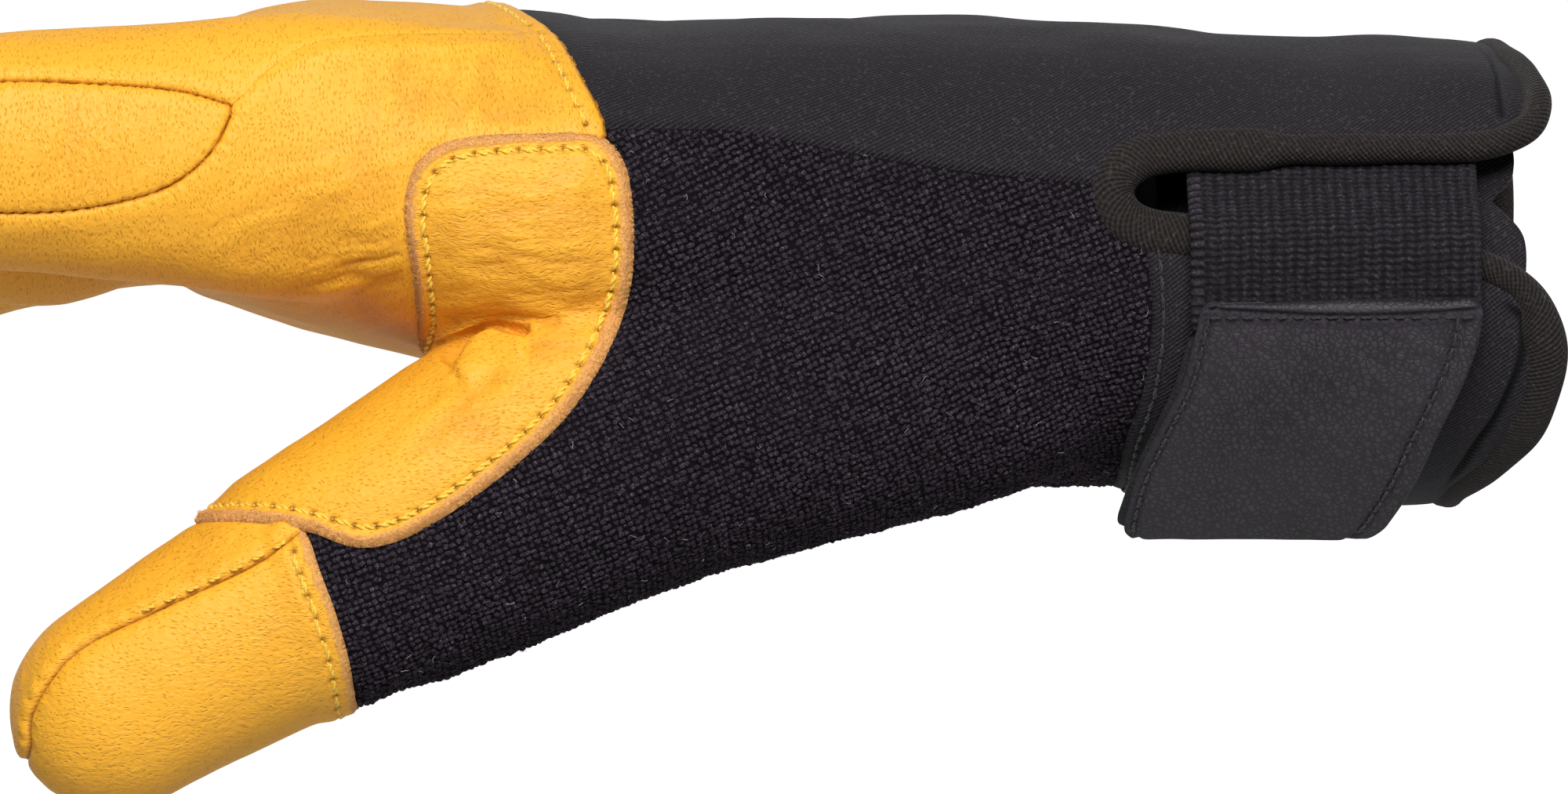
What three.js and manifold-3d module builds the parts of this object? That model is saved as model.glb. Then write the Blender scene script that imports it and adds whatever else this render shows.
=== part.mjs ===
// Right-hand mountaineering glove, palm down, in millimetres.
// +X runs from the fingertips to the cuff mouth, -Y is the thumb side, +Z is the back of the hand.
// The origin is the middle of the wrist opening.
import * as THREE from 'three';
import { mergeVertices } from 'three/addons/utils/BufferGeometryUtils.js';
import Module from 'manifold-3d';

const wasm = await Module();
wasm.setup();

// Driving dimensions
const HAND_WALL = 3.0;
const CUFF_WALL = 2.2;
const SEAM_GAP = 0.3;
const PATCH_PROUD = 0.8;
const BINDING_RADIUS = 1.75;
const STRAP_THICKNESS = 1.8;
const TAB_THICKNESS = 1.5;
const PAD_THICKNESS = 1.3;
const GUSSET_THICKNESS = 1.4;
const STRIP_HALF_HEIGHT = 7.5;
const STRIP_TAPER = 2.5;
const STRIP_POINT = 0.6;
const LITTLE_STRIP_START = -146;
const INDEX_STRIP_START = -150;
const OUTER_SIDES = { hand: 32, finger: 12, thumb: 17 };
const INNER_SIDES = { hand: 18, finger: 7, thumb: 9 };
const OUTER_STEPS = { hand: 16, finger: 8, thumb: 11 };
const INNER_STEPS = { hand: 10, finger: 4, thumb: 6 };
const BINDING_SIDES = 7;
const FINGER_POWER = 2.2;
const TIP_POWER = 2.1;
const TIP_ANGLES = [35, 62, 80];
const TIP_LENGTHEN = 1;
const MOUTH_OVERRUN = 4;
const FAR = 90;
const MIDDLE_LAP = 0.05;

// Turns a table of rows into objects with the named columns.
function rows(names, values) {
  return values.map((row) => Object.fromEntries(names.map((name, i) => [name, row[i]])));
}

// Sections of the hand from the cuff mouth to the webs of the fingers.
const HAND_COLUMNS = ['x', 'top', 'bottom', 'y', 'half', 'power', 'wall'];
const HAND = rows(HAND_COLUMNS, [
  [6, 26.6, -27.4, 0, 43.5, 2.3, CUFF_WALL],
  [-8, 27.6, -28.2, 0, 43, 2.3, CUFF_WALL],
  [-24, 28.5, -28.2, 0, 41.5, 2.3, CUFF_WALL],
  [-40, 29.1, -27, 0, 39.4, 2.3, CUFF_WALL],
  [-52, 30.1, -25.9, 0, 38.6, 2.3, CUFF_WALL],
  [-64, 30.3, -25.4, 0, 39.4, 2.3, 2.6],
  [-80, 30.5, -23.8, 0, 42, 2.35, HAND_WALL],
  [-96, 30.3, -20.6, 0, 45.2, 2.4, HAND_WALL],
  [-110, 30, -17.2, 0, 47.8, 2.45, HAND_WALL],
  [-122, 31.4, -13.8, 0, 49.2, 2.5, HAND_WALL],
  [-135, 32.4, -10.6, 0, 49.8, 2.55, HAND_WALL],
  [-147, 32.5, -7.6, -0.4, 49.6, 2.55, HAND_WALL],
  [-157, 30.6, -4.6, -0.8, 48.4, 2.5, HAND_WALL],
  [-164, 27.4, -1.6, -1, 45.6, 2.4, HAND_WALL],
  [-168.5, 22, 4, -1, 40, 2.2, HAND_WALL],
]);

// Middle line and section of each finger, from inside the hand to the last round section.
const FINGER_COLUMNS = ['x', 'y', 'z', 'half', 'height'];
const FINGERS = [
  rows(FINGER_COLUMNS, [
    [-122, -32, 14.2, 13, 14], [-145, -36, 13.2, 13.4, 17.4], [-165, -37.8, 13.4, 12.5, 15.6],
    [-184, -39.5, 13.7, 12, 14.1], [-200, -41, 12.4, 11.8, 13.4], [-214, -42.3, 9.4, 11.2, 12.3],
    [-232, -43.8, 3.2, 10.6, 11],
  ]),
  rows(FINGER_COLUMNS, [
    [-124, -11.6, 15, 12, 14], [-149, -12, 12.4, 12.4, 15.6], [-168, -12.4, 11.4, 12, 12.8],
    [-180, -12.6, 9.7, 12, 14.2], [-190, -12.7, 9.5, 11.8, 13.1], [-206, -12.9, 8.2, 11.6, 13.2],
    [-222, -13, 4.4, 11, 12.2], [-243, -13.1, -3.2, 10.4, 10.8],
  ]),
  rows(FINGER_COLUMNS, [
    [-120, 11.4, 14.4, 12, 14], [-144, 12, 12.5, 12, 15.4], [-168, 13.3, 11.6, 11.7, 12.9],
    [-184, 14.4, 9.6, 11.5, 12.8], [-202, 15.6, 6.4, 11.2, 12.4], [-217, 16.6, 1.8, 10.7, 11.5],
    [-234, 17.7, -5.4, 10.2, 10.5],
  ]),
  rows(FINGER_COLUMNS, [
    [-112, 32, 12.6, 11, 12], [-134, 34.6, 10.6, 11.4, 14], [-152, 37, 10, 10.8, 12.2],
    [-168, 39.6, 9.6, 10.4, 11], [-182, 42, 7.4, 10.2, 10.8], [-195, 44.2, 3.4, 9.8, 10.2],
    [-208, 46.2, -2.6, 9.2, 9.5],
  ]),
];

// Middle line and section of the thumb, from inside the heel of the hand to its last section.
const THUMB = rows(FINGER_COLUMNS, [
  [-56, -17, -8.6, 15, 14], [-66, -19.5, -9.6, 17, 17.4], [-78, -22, -10.8, 18.4, 19.2],
  [-89.5, -25.5, -13.2, 19, 19.4], [-101, -29, -16.4, 18.8, 19.4], [-113.6, -32.4, -21.6, 18, 18.6],
  [-126.2, -35, -27.6, 16.8, 17.5], [-138, -37, -33.8, 15.6, 16], [-149.2, -38.6, -39.6, 14.6, 14.4],
  [-160.6, -39.8, -45.8, 13.8, 13.2], [-170.3, -40.6, -51, 13.2, 12.9],
]);

// Seams as drawn from the thumb side, each a list of [x, z].
const KNUCKLE_HEM = [
  [-127.5, 60], [-126.5, 33], [-123.5, 31], [-118.5, 27.4], [-115, 21.8], [-112.5, 16.8],
];
const RIDGE_SEAM = [[-155.6, 18.8], [-151.8, 23], [-147, 26.2], [-140, 27.3], [-100, 27.6]];
const STRIP_UPPER = [
  [-155.6, 18.8], [-161.8, 20.6], [-173, 21.6], [-184, 21.8], [-201, 20.2], [-217, 15.6], [-236, 7],
  [-250, 0],
];
const STRIP_LOWER = [
  [-250, -5], [-236, 0.5], [-217, 4.6], [-201, 7], [-184, 6], [-173, 6.6], [-163, 9.4], [-158, 13.8],
];
const PATCH_OUTLINE = [
  [-134.6, -10.8], [-134.3, -2], [-136.3, 9.1], [-134.8, 13.6], [-131.2, 15.6], [-119, 16.4],
  [-113, 15.9], [-110.4, 12.6], [-109.4, 6.9], [-109.5, -1.5], [-111.4, -8], [-114.8, -14.4],
  [-118.8, -19.3], [-128.3, -27.1], [-136.5, -31.8], [-141.2, -32.5], [-147.5, -30.4], [-158, -29.6],
  [-170, -32], [-160, -12],
];
const PATCH_PALM_LINE = -27;
const TIP_OUTLINE = [
  [-158, -29.6], [-147.5, -30.4], [-145.7, -35.8], [-143.9, -40.7], [-142.4, -46.5], [-141.6, -53],
  [-138, -75], [-200, -75], [-200, -20], [-170, -32],
];
const TIP_SEAM = [
  [-146, -29.8], [-152.4, -34.4], [-164.7, -40.2], [-174.2, -45], [-178.1, -49], [-180.2, -53.6],
  [-179.4, -58], [-176, -75], [-130, -75], [-130, -30],
];
const TERRY_SEAM = [[-112.3, 16.4], [-97, 16.2], [-88, 14.5], [-72, 11.7], [-50, 9.4]];
const TERRY_EDGE = [[-48.2, 2.3], [-47.4, -5.4], [-48.4, -14.9], [-50.4, -21.6], [-53, -60]];
const TERRY_PALM_LINE = -13;
const FAR_SEAM = [[-155, 12.4], [-112, 10.6], [-90, 3], [-54, -4]];

// Middle line of the binding: along the slit and the mouth on the near side, then back along the
// mouth on the far side, from the top round to the bottom.
const SLIT_UPPER = [
  [-4.6, 25], [-2.8, 22.6], [-1.9, 19.4], [-3.4, 16.4], [-8, 14.5], [-20, 14], [-34, 13.9], [-44, 13.7],
  [-49, 12.9], [-51.7, 11],
];
const SLIT_LOWER = [
  [-52.4, 8.4], [-51, 5.8], [-48, 4.2], [-42, 3.6], [-28, 3.2], [-14, 1.6], [-6.4, -1], [-2.4, -4.2],
  [-0.5, -9], [-1.8, -17], [-5.6, -22.6], [-10.6, -26.3],
];
const MOUTH_TOP_X = -6;
const MOUTH_BOTTOM_X = -11;
const BINDING_INSET = 1.1;
const JOINT_REACH = 2;
const FAR_MOUTH = [[-10.6, -26.3], [-5.4, -21], [-2.6, -10], [-2, 2], [-2.6, 14], [-5, 24]];

// Strap, tab and gusset, row by row from top to bottom. The depth is how far the outer face lies
// behind the near surface of the cuff, so a piece outside the cuff has a negative depth.
const STRAP = rows(['z', 'left', 'right', 'depth'], [
  [17, -43.6, -9.4, 4.7], [15.4, -43.6, -9.4, 4.2], [11.8, -43.6, -9.4, 3.7], [7.8, -43.5, -9.4, -0.8],
  [5.4, -43.4, -9.3, -3.4], [2, -43.3, -9.3, -3.5], [-2, -43.3, -9.2, -2.6], [-7.4, -43.2, -9.2, -2.5],
]);
const HOOK_PAD = rows(['z', 'left', 'right', 'depth'], [
  [-8.3, -43.4, -9.8, -2.1], [-14, -45, -11.6, -2.4], [-20, -47.6, -14.2, -4.6], [-26, -50.2, -17, -1.8],
  [-31.2, -51.8, -21, 4.2],
]);
const TAB = rows(['z', 'left', 'right', 'depth'], [
  [-4.4, -42, -9, -4.6], [-9.2, -43, -9.6, -4.5], [-14.4, -44.3, -11.4, -4.6], [-20, -47, -14, -7.1],
  [-26, -49.6, -16.6, -4.7], [-32.4, -51, -20.6, 1.9],
]);
const SHEET_COLUMNS = 4;
const SHEET_FLOOR = -21;
const GUSSET = rows(['z', 'left', 'right', 'depth'], [
  [19.2, -47, -6.6, 5.6], [17.6, -47, -5.4, 7.6], [12.6, -47, -4.6, 6.7], [10, -47, -5.6, 7.4],
  [8.1, -47, -7.4, 9.6], [6.4, -47, -5.8, 7], [3.6, -47, -3.8, 5.6], [-0.4, -47, -3.6, 3.8],
  [-4, -47, -4.4, 3.3],
]);

// Reads a smooth value of one column between the rows of a table, t from 0 to 1 along it.
function smoothRow(table, t, names) {
  const place = t * (table.length - 1);
  const i = Math.min(Math.floor(place), table.length - 2);
  const f = place - i;
  const at = (k) => table[Math.max(0, Math.min(table.length - 1, k))];
  const row = {};
  for (const name of names) {
    const [a, b, c, d] = [at(i - 1)[name], at(i)[name], at(i + 1)[name], at(i + 2)[name]];
    row[name] = b + 0.5 * f * (c - a + f * (2 * a - 5 * b + 4 * c - d + f * (3 * (b - c) + d - a)));
  }
  return row;
}

// A merged three.js geometry as a closed solid.
function solidOf(geometry) {
  geometry.deleteAttribute('normal');
  geometry.deleteAttribute('uv');
  const merged = mergeVertices(geometry, 1e-4);
  return new wasm.Manifold(new wasm.Mesh({
    numProp: 3,
    vertProperties: new Float32Array(merged.attributes.position.array),
    triVerts: new Uint32Array(merged.index.array),
  }));
}

// Skins closed rings of points, each end closed by a fan round its middle.
function skin(rings) {
  const count = rings[0].length;
  const points = rings.flat();
  const middle = (ring) => ring.reduce((sum, p) => sum.add(p), new THREE.Vector3()).divideScalar(count);
  const faces = [];
  for (let r = 0; r + 1 < rings.length; r += 1) {
    for (let i = 0; i < count; i += 1) {
      const a = r * count + i;
      const b = r * count + ((i + 1) % count);
      faces.push(a, b, a + count, b, b + count, a + count);
    }
  }
  const first = points.push(middle(rings[0])) - 1;
  const last = points.push(middle(rings[rings.length - 1])) - 1;
  const lastRing = (rings.length - 1) * count;
  for (let i = 0; i < count; i += 1) {
    const j = (i + 1) % count;
    faces.push(first, j, i, last, lastRing + i, lastRing + j);
  }
  const geometry = new THREE.BufferGeometry().setFromPoints(points);
  geometry.setIndex(faces);
  const solid = solidOf(geometry);
  if (solid.volume() > 0) return solid;
  const turned = geometry.clone();
  turned.setIndex(faces.map((v, k) => faces[k - (k % 3) + (2 - (k % 3))]));
  return solidOf(turned);
}

// One ring of a superellipse round a centre.
function ovalRing(centre, across, up, half, height, power, sides) {
  const ring = [];
  for (let i = 0; i < sides; i += 1) {
    const angle = (2 * Math.PI * i) / sides;
    const c = Math.cos(angle);
    const s = Math.sin(angle);
    const u = Math.sign(c) * Math.abs(c) ** (2 / power) * half;
    const v = Math.sign(s) * Math.abs(s) ** (2 / power) * height;
    ring.push(centre.clone().addScaledVector(across, u).addScaledVector(up, v));
  }
  return ring;
}

// The hand as one closed loft, taken in by its wall where inner is true and out by grow.
function handLoft(inner, grow = 0) {
  const across = new THREE.Vector3(0, 1, 0);
  const up = new THREE.Vector3(0, 0, 1);
  const steps = (inner ? INNER_STEPS : OUTER_STEPS).hand;
  const sides = (inner ? INNER_SIDES : OUTER_SIDES).hand;
  const rings = [];
  for (let i = 0; i <= steps; i += 1) {
    const row = smoothRow(HAND, i / steps, HAND_COLUMNS);
    const wall = inner ? row.wall : -grow;
    const mouthShift = inner && i === 0 ? MOUTH_OVERRUN : 0;
    const endShift = inner && i >= steps - 1 ? row.wall : 0;
    const centre = new THREE.Vector3(row.x + mouthShift + endShift, row.y, (row.top + row.bottom) / 2);
    const height = (row.top - row.bottom) / 2 - wall;
    rings.push(ovalRing(centre, across, up, row.half - wall, height, row.power, sides));
  }
  return skin(rings);
}

// A finger or thumb as one closed loft with a round end.
function fingerLoft(table, sides, wall, steps) {
  const centres = [];
  for (let i = 0; i <= steps; i += 1) centres.push(smoothRow(table, i / steps, FINGER_COLUMNS));
  const point = (row) => new THREE.Vector3(row.x, row.y, row.z);
  const rings = [];
  let along = new THREE.Vector3();
  let up = new THREE.Vector3();
  let across = new THREE.Vector3();
  centres.forEach((row, i) => {
    const before = centres[Math.max(0, i - 1)];
    const after = centres[Math.min(steps, i + 1)];
    along = point(after).sub(point(before)).normalize();
    across = new THREE.Vector3(0, 0, 1).cross(along).normalize();
    up = along.clone().cross(across);
    rings.push(ovalRing(point(row), across, up, row.half - wall, row.height - wall, FINGER_POWER, sides));
  });
  const end = centres[steps];
  for (const angle of TIP_ANGLES) {
    const turn = THREE.MathUtils.degToRad(angle);
    const reach = (end.height + TIP_LENGTHEN - wall) * Math.sin(turn);
    const centre = point(end).addScaledVector(along, reach);
    const half = (end.half - wall) * Math.cos(turn);
    const height = (end.height - wall) * Math.cos(turn);
    rings.push(ovalRing(centre, across, up, half, height, TIP_POWER, sides));
  }
  return skin(rings);
}

// Grows an outline by a distance along its corner normals.
function grownOutline(outline, grow) {
  if (grow === 0) return outline;
  const count = outline.length;
  const area = outline.reduce((sum, [x, z], i) => {
    const [nx, nz] = outline[(i + 1) % count];
    return sum + x * nz - nx * z;
  }, 0);
  const side = area > 0 ? 1 : -1;
  return outline.map(([x, z], i) => {
    const [px, pz] = outline[(i + count - 1) % count];
    const [nx, nz] = outline[(i + 1) % count];
    const a = new THREE.Vector2(x - px, z - pz).normalize();
    const b = new THREE.Vector2(nx - x, nz - z).normalize();
    const normal = new THREE.Vector2(a.y + b.y, -(a.x + b.x)).normalize().multiplyScalar(side);
    const reach = grow / Math.max(0.5, normal.dot(new THREE.Vector2(a.y, -a.x).multiplyScalar(side)));
    return [x + normal.x * reach, z + normal.y * reach];
  });
}

function extruded(outline, depth, grow) {
  const shape = new THREE.Shape(grownOutline(outline, grow).map(([a, b]) => new THREE.Vector2(a, b)));
  return new THREE.ExtrudeGeometry(shape, { depth, bevelEnabled: false, steps: 1 });
}

// A block with an outline drawn from the thumb side, between two depths in Y.
function sideBlock(outline, yLow, yHigh, grow = 0) {
  const geometry = extruded(outline, yHigh - yLow + 2 * grow, grow);
  geometry.rotateX(Math.PI / 2);
  geometry.translate(0, yHigh + grow, 0);
  return solidOf(geometry);
}

// A block with an outline drawn from above, through the whole height.
function planBlock(outline, grow = 0) {
  const geometry = extruded(outline, 2 * FAR, grow);
  geometry.translate(0, 0, -FAR);
  return solidOf(geometry);
}

const unite = (solids) => solids.reduce((sum, solid) => sum.add(solid));

// Reads a column of a finger's table at a place along X.
function fingerAt(finger, x, name) {
  for (let i = 0; i + 1 < finger.length; i += 1) {
    const [a, b] = [finger[i], finger[i + 1]];
    if (x <= a.x && x >= b.x) return a[name] + ((b[name] - a[name]) * (a.x - x)) / (a.x - b.x);
  }
  const [a, b] = x > finger[0].x ? [finger[0], finger[1]] : finger.slice(-2);
  return a[name] + ((b[name] - a[name]) * (a.x - x)) / (a.x - b.x);
}

const FINGER_START = -156;
const FINGER_END = -275;
const FINGER_STATIONS = [FINGER_START, -168, -184, -200, -215, -232, FINGER_END];

// The side strip of a finger, drawn from the side along its middle line.
function stripBlock(finger, start, grow) {
  const stations = [start, ...FINGER_STATIONS.slice(1)];
  const full = (x) => STRIP_HALF_HEIGHT - (STRIP_TAPER * (start - x)) / (start - FINGER_END);
  const half = (x) => (start > FINGER_START && x === start ? STRIP_POINT : full(x));
  const top = stations.map((x) => [x, fingerAt(finger, x, 'z') + half(x)]);
  const bottom = stations.map((x) => [x, fingerAt(finger, x, 'z') - half(x)]).reverse();
  return sideBlock([...top, ...bottom], -FAR, FAR, grow);
}

// The stretch between two lines seen from above, each a function of X.
function lane(lineA, lineB, start, grow) {
  const stations = [start, ...FINGER_STATIONS.slice(1)];
  const near = stations.map((x) => [x, lineA(x)]);
  const far = stations.map((x) => [x, lineB(x)]).reverse();
  return planBlock([...near, ...far], grow);
}

const fingerLine = (k) => (x) => fingerAt(FINGERS[k], x, 'y');
const midLine = (k) => (x) => (fingerAt(FINGERS[k], x, 'y') + fingerAt(FINGERS[k + 1], x, 'y')) / 2;
const nearSide = () => -FAR;
const farSide = () => FAR;
const laneEdges = [nearSide, midLine(0), midLine(1), midLine(2), farSide];

// Regions of the seams, each made to size or grown by the seam gap.
function tipRegion(grow) {
  return sideBlock(TIP_OUTLINE, -FAR, FAR, grow);
}

function tipBackRegion(grow) {
  return tipRegion(grow).intersect(sideBlock(TIP_SEAM, -FAR, FAR, grow));
}

function patchRegion(grow) {
  return sideBlock(PATCH_OUTLINE, -FAR, PATCH_PALM_LINE, grow);
}

function indexStripRegion(grow) {
  return sideBlock([...STRIP_UPPER, ...STRIP_LOWER], -FAR, FAR, grow)
    .intersect(lane(nearSide, fingerLine(0), INDEX_STRIP_START, grow));
}

function littleStripRegion(grow) {
  return stripBlock(FINGERS[3], LITTLE_STRIP_START, grow)
    .intersect(lane(fingerLine(3), farSide, LITTLE_STRIP_START, grow));
}

// The side walls of two neighbouring fingers, joined across the web between them.
function fourchetteRegion(k, grow) {
  const first = stripBlock(FINGERS[k], FINGER_START, grow)
    .intersect(lane(fingerLine(k), midLine(k), FINGER_START, grow));
  const second = stripBlock(FINGERS[k + 1], FINGER_START, grow)
    .intersect(lane(midLine(k), fingerLine(k + 1), FINGER_START, grow));
  return first.add(second);
}

function backRegion(grow) {
  const aboveFingers = FINGERS.map((finger, k) => {
    const middle = FINGER_STATIONS.map((x) => [x, fingerAt(finger, x, 'z')]);
    const line = k === 0 ? STRIP_UPPER.map(([x, z]) => [x, z - 1]) : middle;
    const block = sideBlock([...line, [FINGER_END, FAR], [FINGER_START, FAR]], -FAR, FAR, grow);
    return block.intersect(lane(laneEdges[k], laneEdges[k + 1], FINGER_START, grow));
  });
  const nearTop = [[-158, 19.2], ...RIDGE_SEAM, [-100, FAR], [-158, FAR]];
  const farTop = [[-158, 12.4], FAR_SEAM[0], FAR_SEAM[1], [-100, 10], [-100, FAR], [-158, FAR]];
  const handTop = sideBlock(nearTop, -FAR, MIDDLE_LAP, grow).add(sideBlock(farTop, 0, FAR, grow));
  return unite([...aboveFingers, handTop]).intersect(leatherSide(grow));
}

// Everything on the finger side of the knuckle hem.
function leatherSide(grow) {
  return sideBlock([...KNUCKLE_HEM, [-112.2, -FAR], [-300, -FAR], [-300, 60]], -FAR, FAR, grow);
}

function terryRegion(grow) {
  const outline = [
    ...TERRY_SEAM, ...TERRY_EDGE, [-175, -60], [-175, -48], [-148, -30.5], [-140, -30.5], [-119, -19.5],
    [-112, -8],
  ];
  return sideBlock(outline, -FAR, TERRY_PALM_LINE, grow);
}

function thumbBackRegion(grow) {
  const back = [
    [-175, -49.5], [-140.5, -31.5], [-128, -26.6], [-112, -17], [-104, -12], [-96, -60], [-175, -90],
  ];
  return sideBlock(back, -FAR, TERRY_PALM_LINE, grow);
}

function softshellRegion(grow) {
  const nearPart = [[-118, 17], ...TERRY_SEAM, [-46, 9.2], [20, 9.2], [20, FAR], [-130, FAR], [-130, 27]];
  const farPart = [...FAR_SEAM.slice(1), [20, -4], [20, FAR], [-130, FAR], [-130, 10.8]];
  return sideBlock(nearPart, -FAR, MIDDLE_LAP, grow).add(sideBlock(farPart, 0, FAR, grow));
}

function cuffPalmRegion(grow) {
  const nearPart = [[-48.6, 9.2], ...TERRY_EDGE, [20, -60], [20, 9.2]];
  const farPart = [[-60, -4], [-60, -60], [20, -60], [20, -4]];
  return sideBlock(nearPart, -FAR, MIDDLE_LAP, grow).add(sideBlock(farPart, TERRY_PALM_LINE, FAR, grow));
}

// Keeps the main body of a cut piece and drops the crumbs that the cuts leave.
function mainBody(solid) {
  const parts = solid.decompose();
  return parts.reduce((best, part) => (part.volume() > best.volume() ? part : best));
}

// The section of the hand at a place along X.
function handSection(x) {
  let i = 0;
  while (i + 2 < HAND.length && HAND[i + 1].x > x) i += 1;
  const [a, b] = [HAND[i], HAND[i + 1]];
  const f = (a.x - x) / (a.x - b.x);
  const mix = (name) => a[name] + (b[name] - a[name]) * f;
  const [top, bottom] = [mix('top'), mix('bottom')];
  return { top, bottom, middle: (top + bottom) / 2, half: mix('half'), power: mix('power') };
}

// A point at a depth behind the surface of the hand, on the near side (-1) or the far side (1).
function surfacePoint(x, z, depth, side) {
  const section = handSection(x);
  const height = (section.top - section.bottom) / 2 - depth;
  const rise = Math.min(0.995, Math.abs(z - section.middle) / height);
  const reach = (section.half - depth) * (1 - rise ** section.power) ** (1 / section.power);
  return new THREE.Vector3(x, side * reach, z);
}

// A round tube through the points, with two rings to each stretch, so tight bends get more rings.
function tube(points, radius, sides) {
  const curve = new THREE.CatmullRomCurve3(points, false, 'centripetal');
  const steps = 2 * (points.length - 1);
  const rings = [];
  for (let i = 0; i <= steps; i += 1) {
    const centre = curve.getPoint(i / steps);
    const along = curve.getTangent(i / steps);
    const across = along.clone().cross(new THREE.Vector3(0, centre.y, centre.z)).normalize();
    const up = across.clone().cross(along);
    rings.push(ovalRing(centre, across, up, radius, radius, 2, sides));
  }
  return skin(rings);
}

// A sheet of even thickness on the near side of the cuff, from a table of z, left, right and depth.
function sheet(table, thickness, columns) {
  const outer = table.map((row) => {
    const line = [];
    for (let i = 0; i <= columns; i += 1) {
      const x = row.left + ((row.right - row.left) * i) / columns;
      const cuff = surfacePoint(x, Math.max(row.z, SHEET_FLOOR), 0, -1);
      line.push(new THREE.Vector3(x, cuff.y + row.depth, row.z));
    }
    return line;
  });
  const clamp = THREE.MathUtils.clamp;
  const pick = (r, c) => outer[clamp(r, 0, outer.length - 1)][clamp(c, 0, columns)];
  const inner = outer.map((line, r) => line.map((point, c) => {
    const down = pick(r + 1, c).clone().sub(pick(r - 1, c));
    const side = pick(r, c + 1).clone().sub(pick(r, c - 1));
    const inward = down.cross(side).normalize();
    if (inward.y < 0) inward.negate();
    return point.clone().addScaledVector(inward, thickness);
  }));
  const rings = outer.map((line, r) => [...line, ...inner[r].slice().reverse()]);
  return skin(rings);
}

// The hollow skin of the whole glove
const outerFinger = (table) => fingerLoft(table, OUTER_SIDES.finger, 0, OUTER_STEPS.finger);
const innerFinger = (table) => fingerLoft(table, INNER_SIDES.finger, HAND_WALL, INNER_STEPS.finger);
const outerThumb = (grow) => fingerLoft(THUMB, OUTER_SIDES.thumb, -grow, OUTER_STEPS.thumb);
const innerThumb = fingerLoft(THUMB, INNER_SIDES.thumb, HAND_WALL, INNER_STEPS.thumb);
const hollow = unite([handLoft(true), innerThumb, ...FINGERS.map(innerFinger)]);
const outside = unite([handLoft(false), outerThumb(0), ...FINGERS.map(outerFinger)]);
const proudOutside = handLoft(false, PATCH_PROUD).add(outerThumb(PATCH_PROUD));

// The mouth and the slit are cut along the middle line of the binding.
const nearMouth = [
  [MOUTH_TOP_X, FAR], ...SLIT_UPPER, ...SLIT_LOWER, [MOUTH_BOTTOM_X, -FAR], [FAR, -FAR], [FAR, FAR],
];
const farMouth = [[MOUTH_BOTTOM_X, -FAR], ...FAR_MOUTH, [MOUTH_TOP_X, FAR], [FAR, FAR], [FAR, -FAR]];
const mouthCut = sideBlock(nearMouth, -FAR, MIDDLE_LAP).add(sideBlock(farMouth, 0, FAR));

// The binding runs from the bottom of the mouth up the far side, over the top and round the slit.
const nearRoute = [...SLIT_UPPER, ...SLIT_LOWER].map(([x, z]) => surfacePoint(x, z, BINDING_INSET, -1));
const farRoute = FAR_MOUTH.map(([x, z]) => surfacePoint(x, z, BINDING_INSET, 1));
const topMiddle = new THREE.Vector3(MOUTH_TOP_X, 0, handSection(MOUTH_TOP_X).top - BINDING_INSET);
const bottomHeight = handSection(MOUTH_BOTTOM_X).bottom;
const bottomMiddle = new THREE.Vector3(MOUTH_BOTTOM_X, 0, bottomHeight + BINDING_INSET);
const besideJoint = (shift) => bottomMiddle.clone().add(new THREE.Vector3(0, shift, 0));
const bindingRoute = [bottomMiddle, ...farRoute, topMiddle, ...nearRoute, besideJoint(-SEAM_GAP)];
const binding = tube(bindingRoute, BINDING_RADIUS, BINDING_SIDES);
const joint = [besideJoint(-JOINT_REACH), besideJoint(JOINT_REACH)];
const jointRoom = tube(joint, BINDING_RADIUS + SEAM_GAP, BINDING_SIDES);
const bindingRoom = tube(bindingRoute, BINDING_RADIUS + SEAM_GAP, BINDING_SIDES).add(jointRoom);
const skinSolid = outside.subtract(hollow).subtract(mouthCut).subtract(bindingRoom);

const pieces = {};
const taken = [];

// Cuts a piece out of a skin, clear of every piece cut before it.
function cutPiece(name, region, from = skinSolid) {
  let solid = from.intersect(region(0));
  for (const earlier of taken) solid = solid.subtract(earlier);
  pieces[name] = mainBody(solid);
  taken.push(region(SEAM_GAP));
}

cutPiece('thumb_tip_back', tipBackRegion);
cutPiece('thumb_tip_palm', tipRegion);
const proudSkin = proudOutside.subtract(hollow);
cutPiece('thumb_patch', patchRegion, proudSkin);
cutPiece('index_side_strip', indexStripRegion);
cutPiece('little_side_strip', littleStripRegion);
for (let k = 0; k < 3; k += 1) cutPiece(`fourchette_${k + 1}`, (grow) => fourchetteRegion(k, grow));
cutPiece('back_leather', backRegion);
cutPiece('terry_panel', (grow) => terryRegion(grow).add(thumbBackRegion(grow)));
cutPiece('palm_leather', (grow) => leatherSide(grow).add(
  sideBlock([[-155, 27.6], ...FAR_SEAM.slice(1), [-54, -60], [-155, -60]], TERRY_PALM_LINE, FAR, grow),
));
cutPiece('back_softshell', softshellRegion);
cutPiece('cuff_palm', cuffPalmRegion);
pieces.cuff_binding = binding;
pieces.slit_gusset = sheet(GUSSET, GUSSET_THICKNESS, SHEET_COLUMNS);
pieces.strap_elastic = sheet(STRAP, STRAP_THICKNESS, SHEET_COLUMNS);
pieces.strap_tab = sheet(TAB, TAB_THICKNESS, SHEET_COLUMNS);
pieces.hook_pad = sheet(HOOK_PAD, PAD_THICKNESS, SHEET_COLUMNS);

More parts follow.
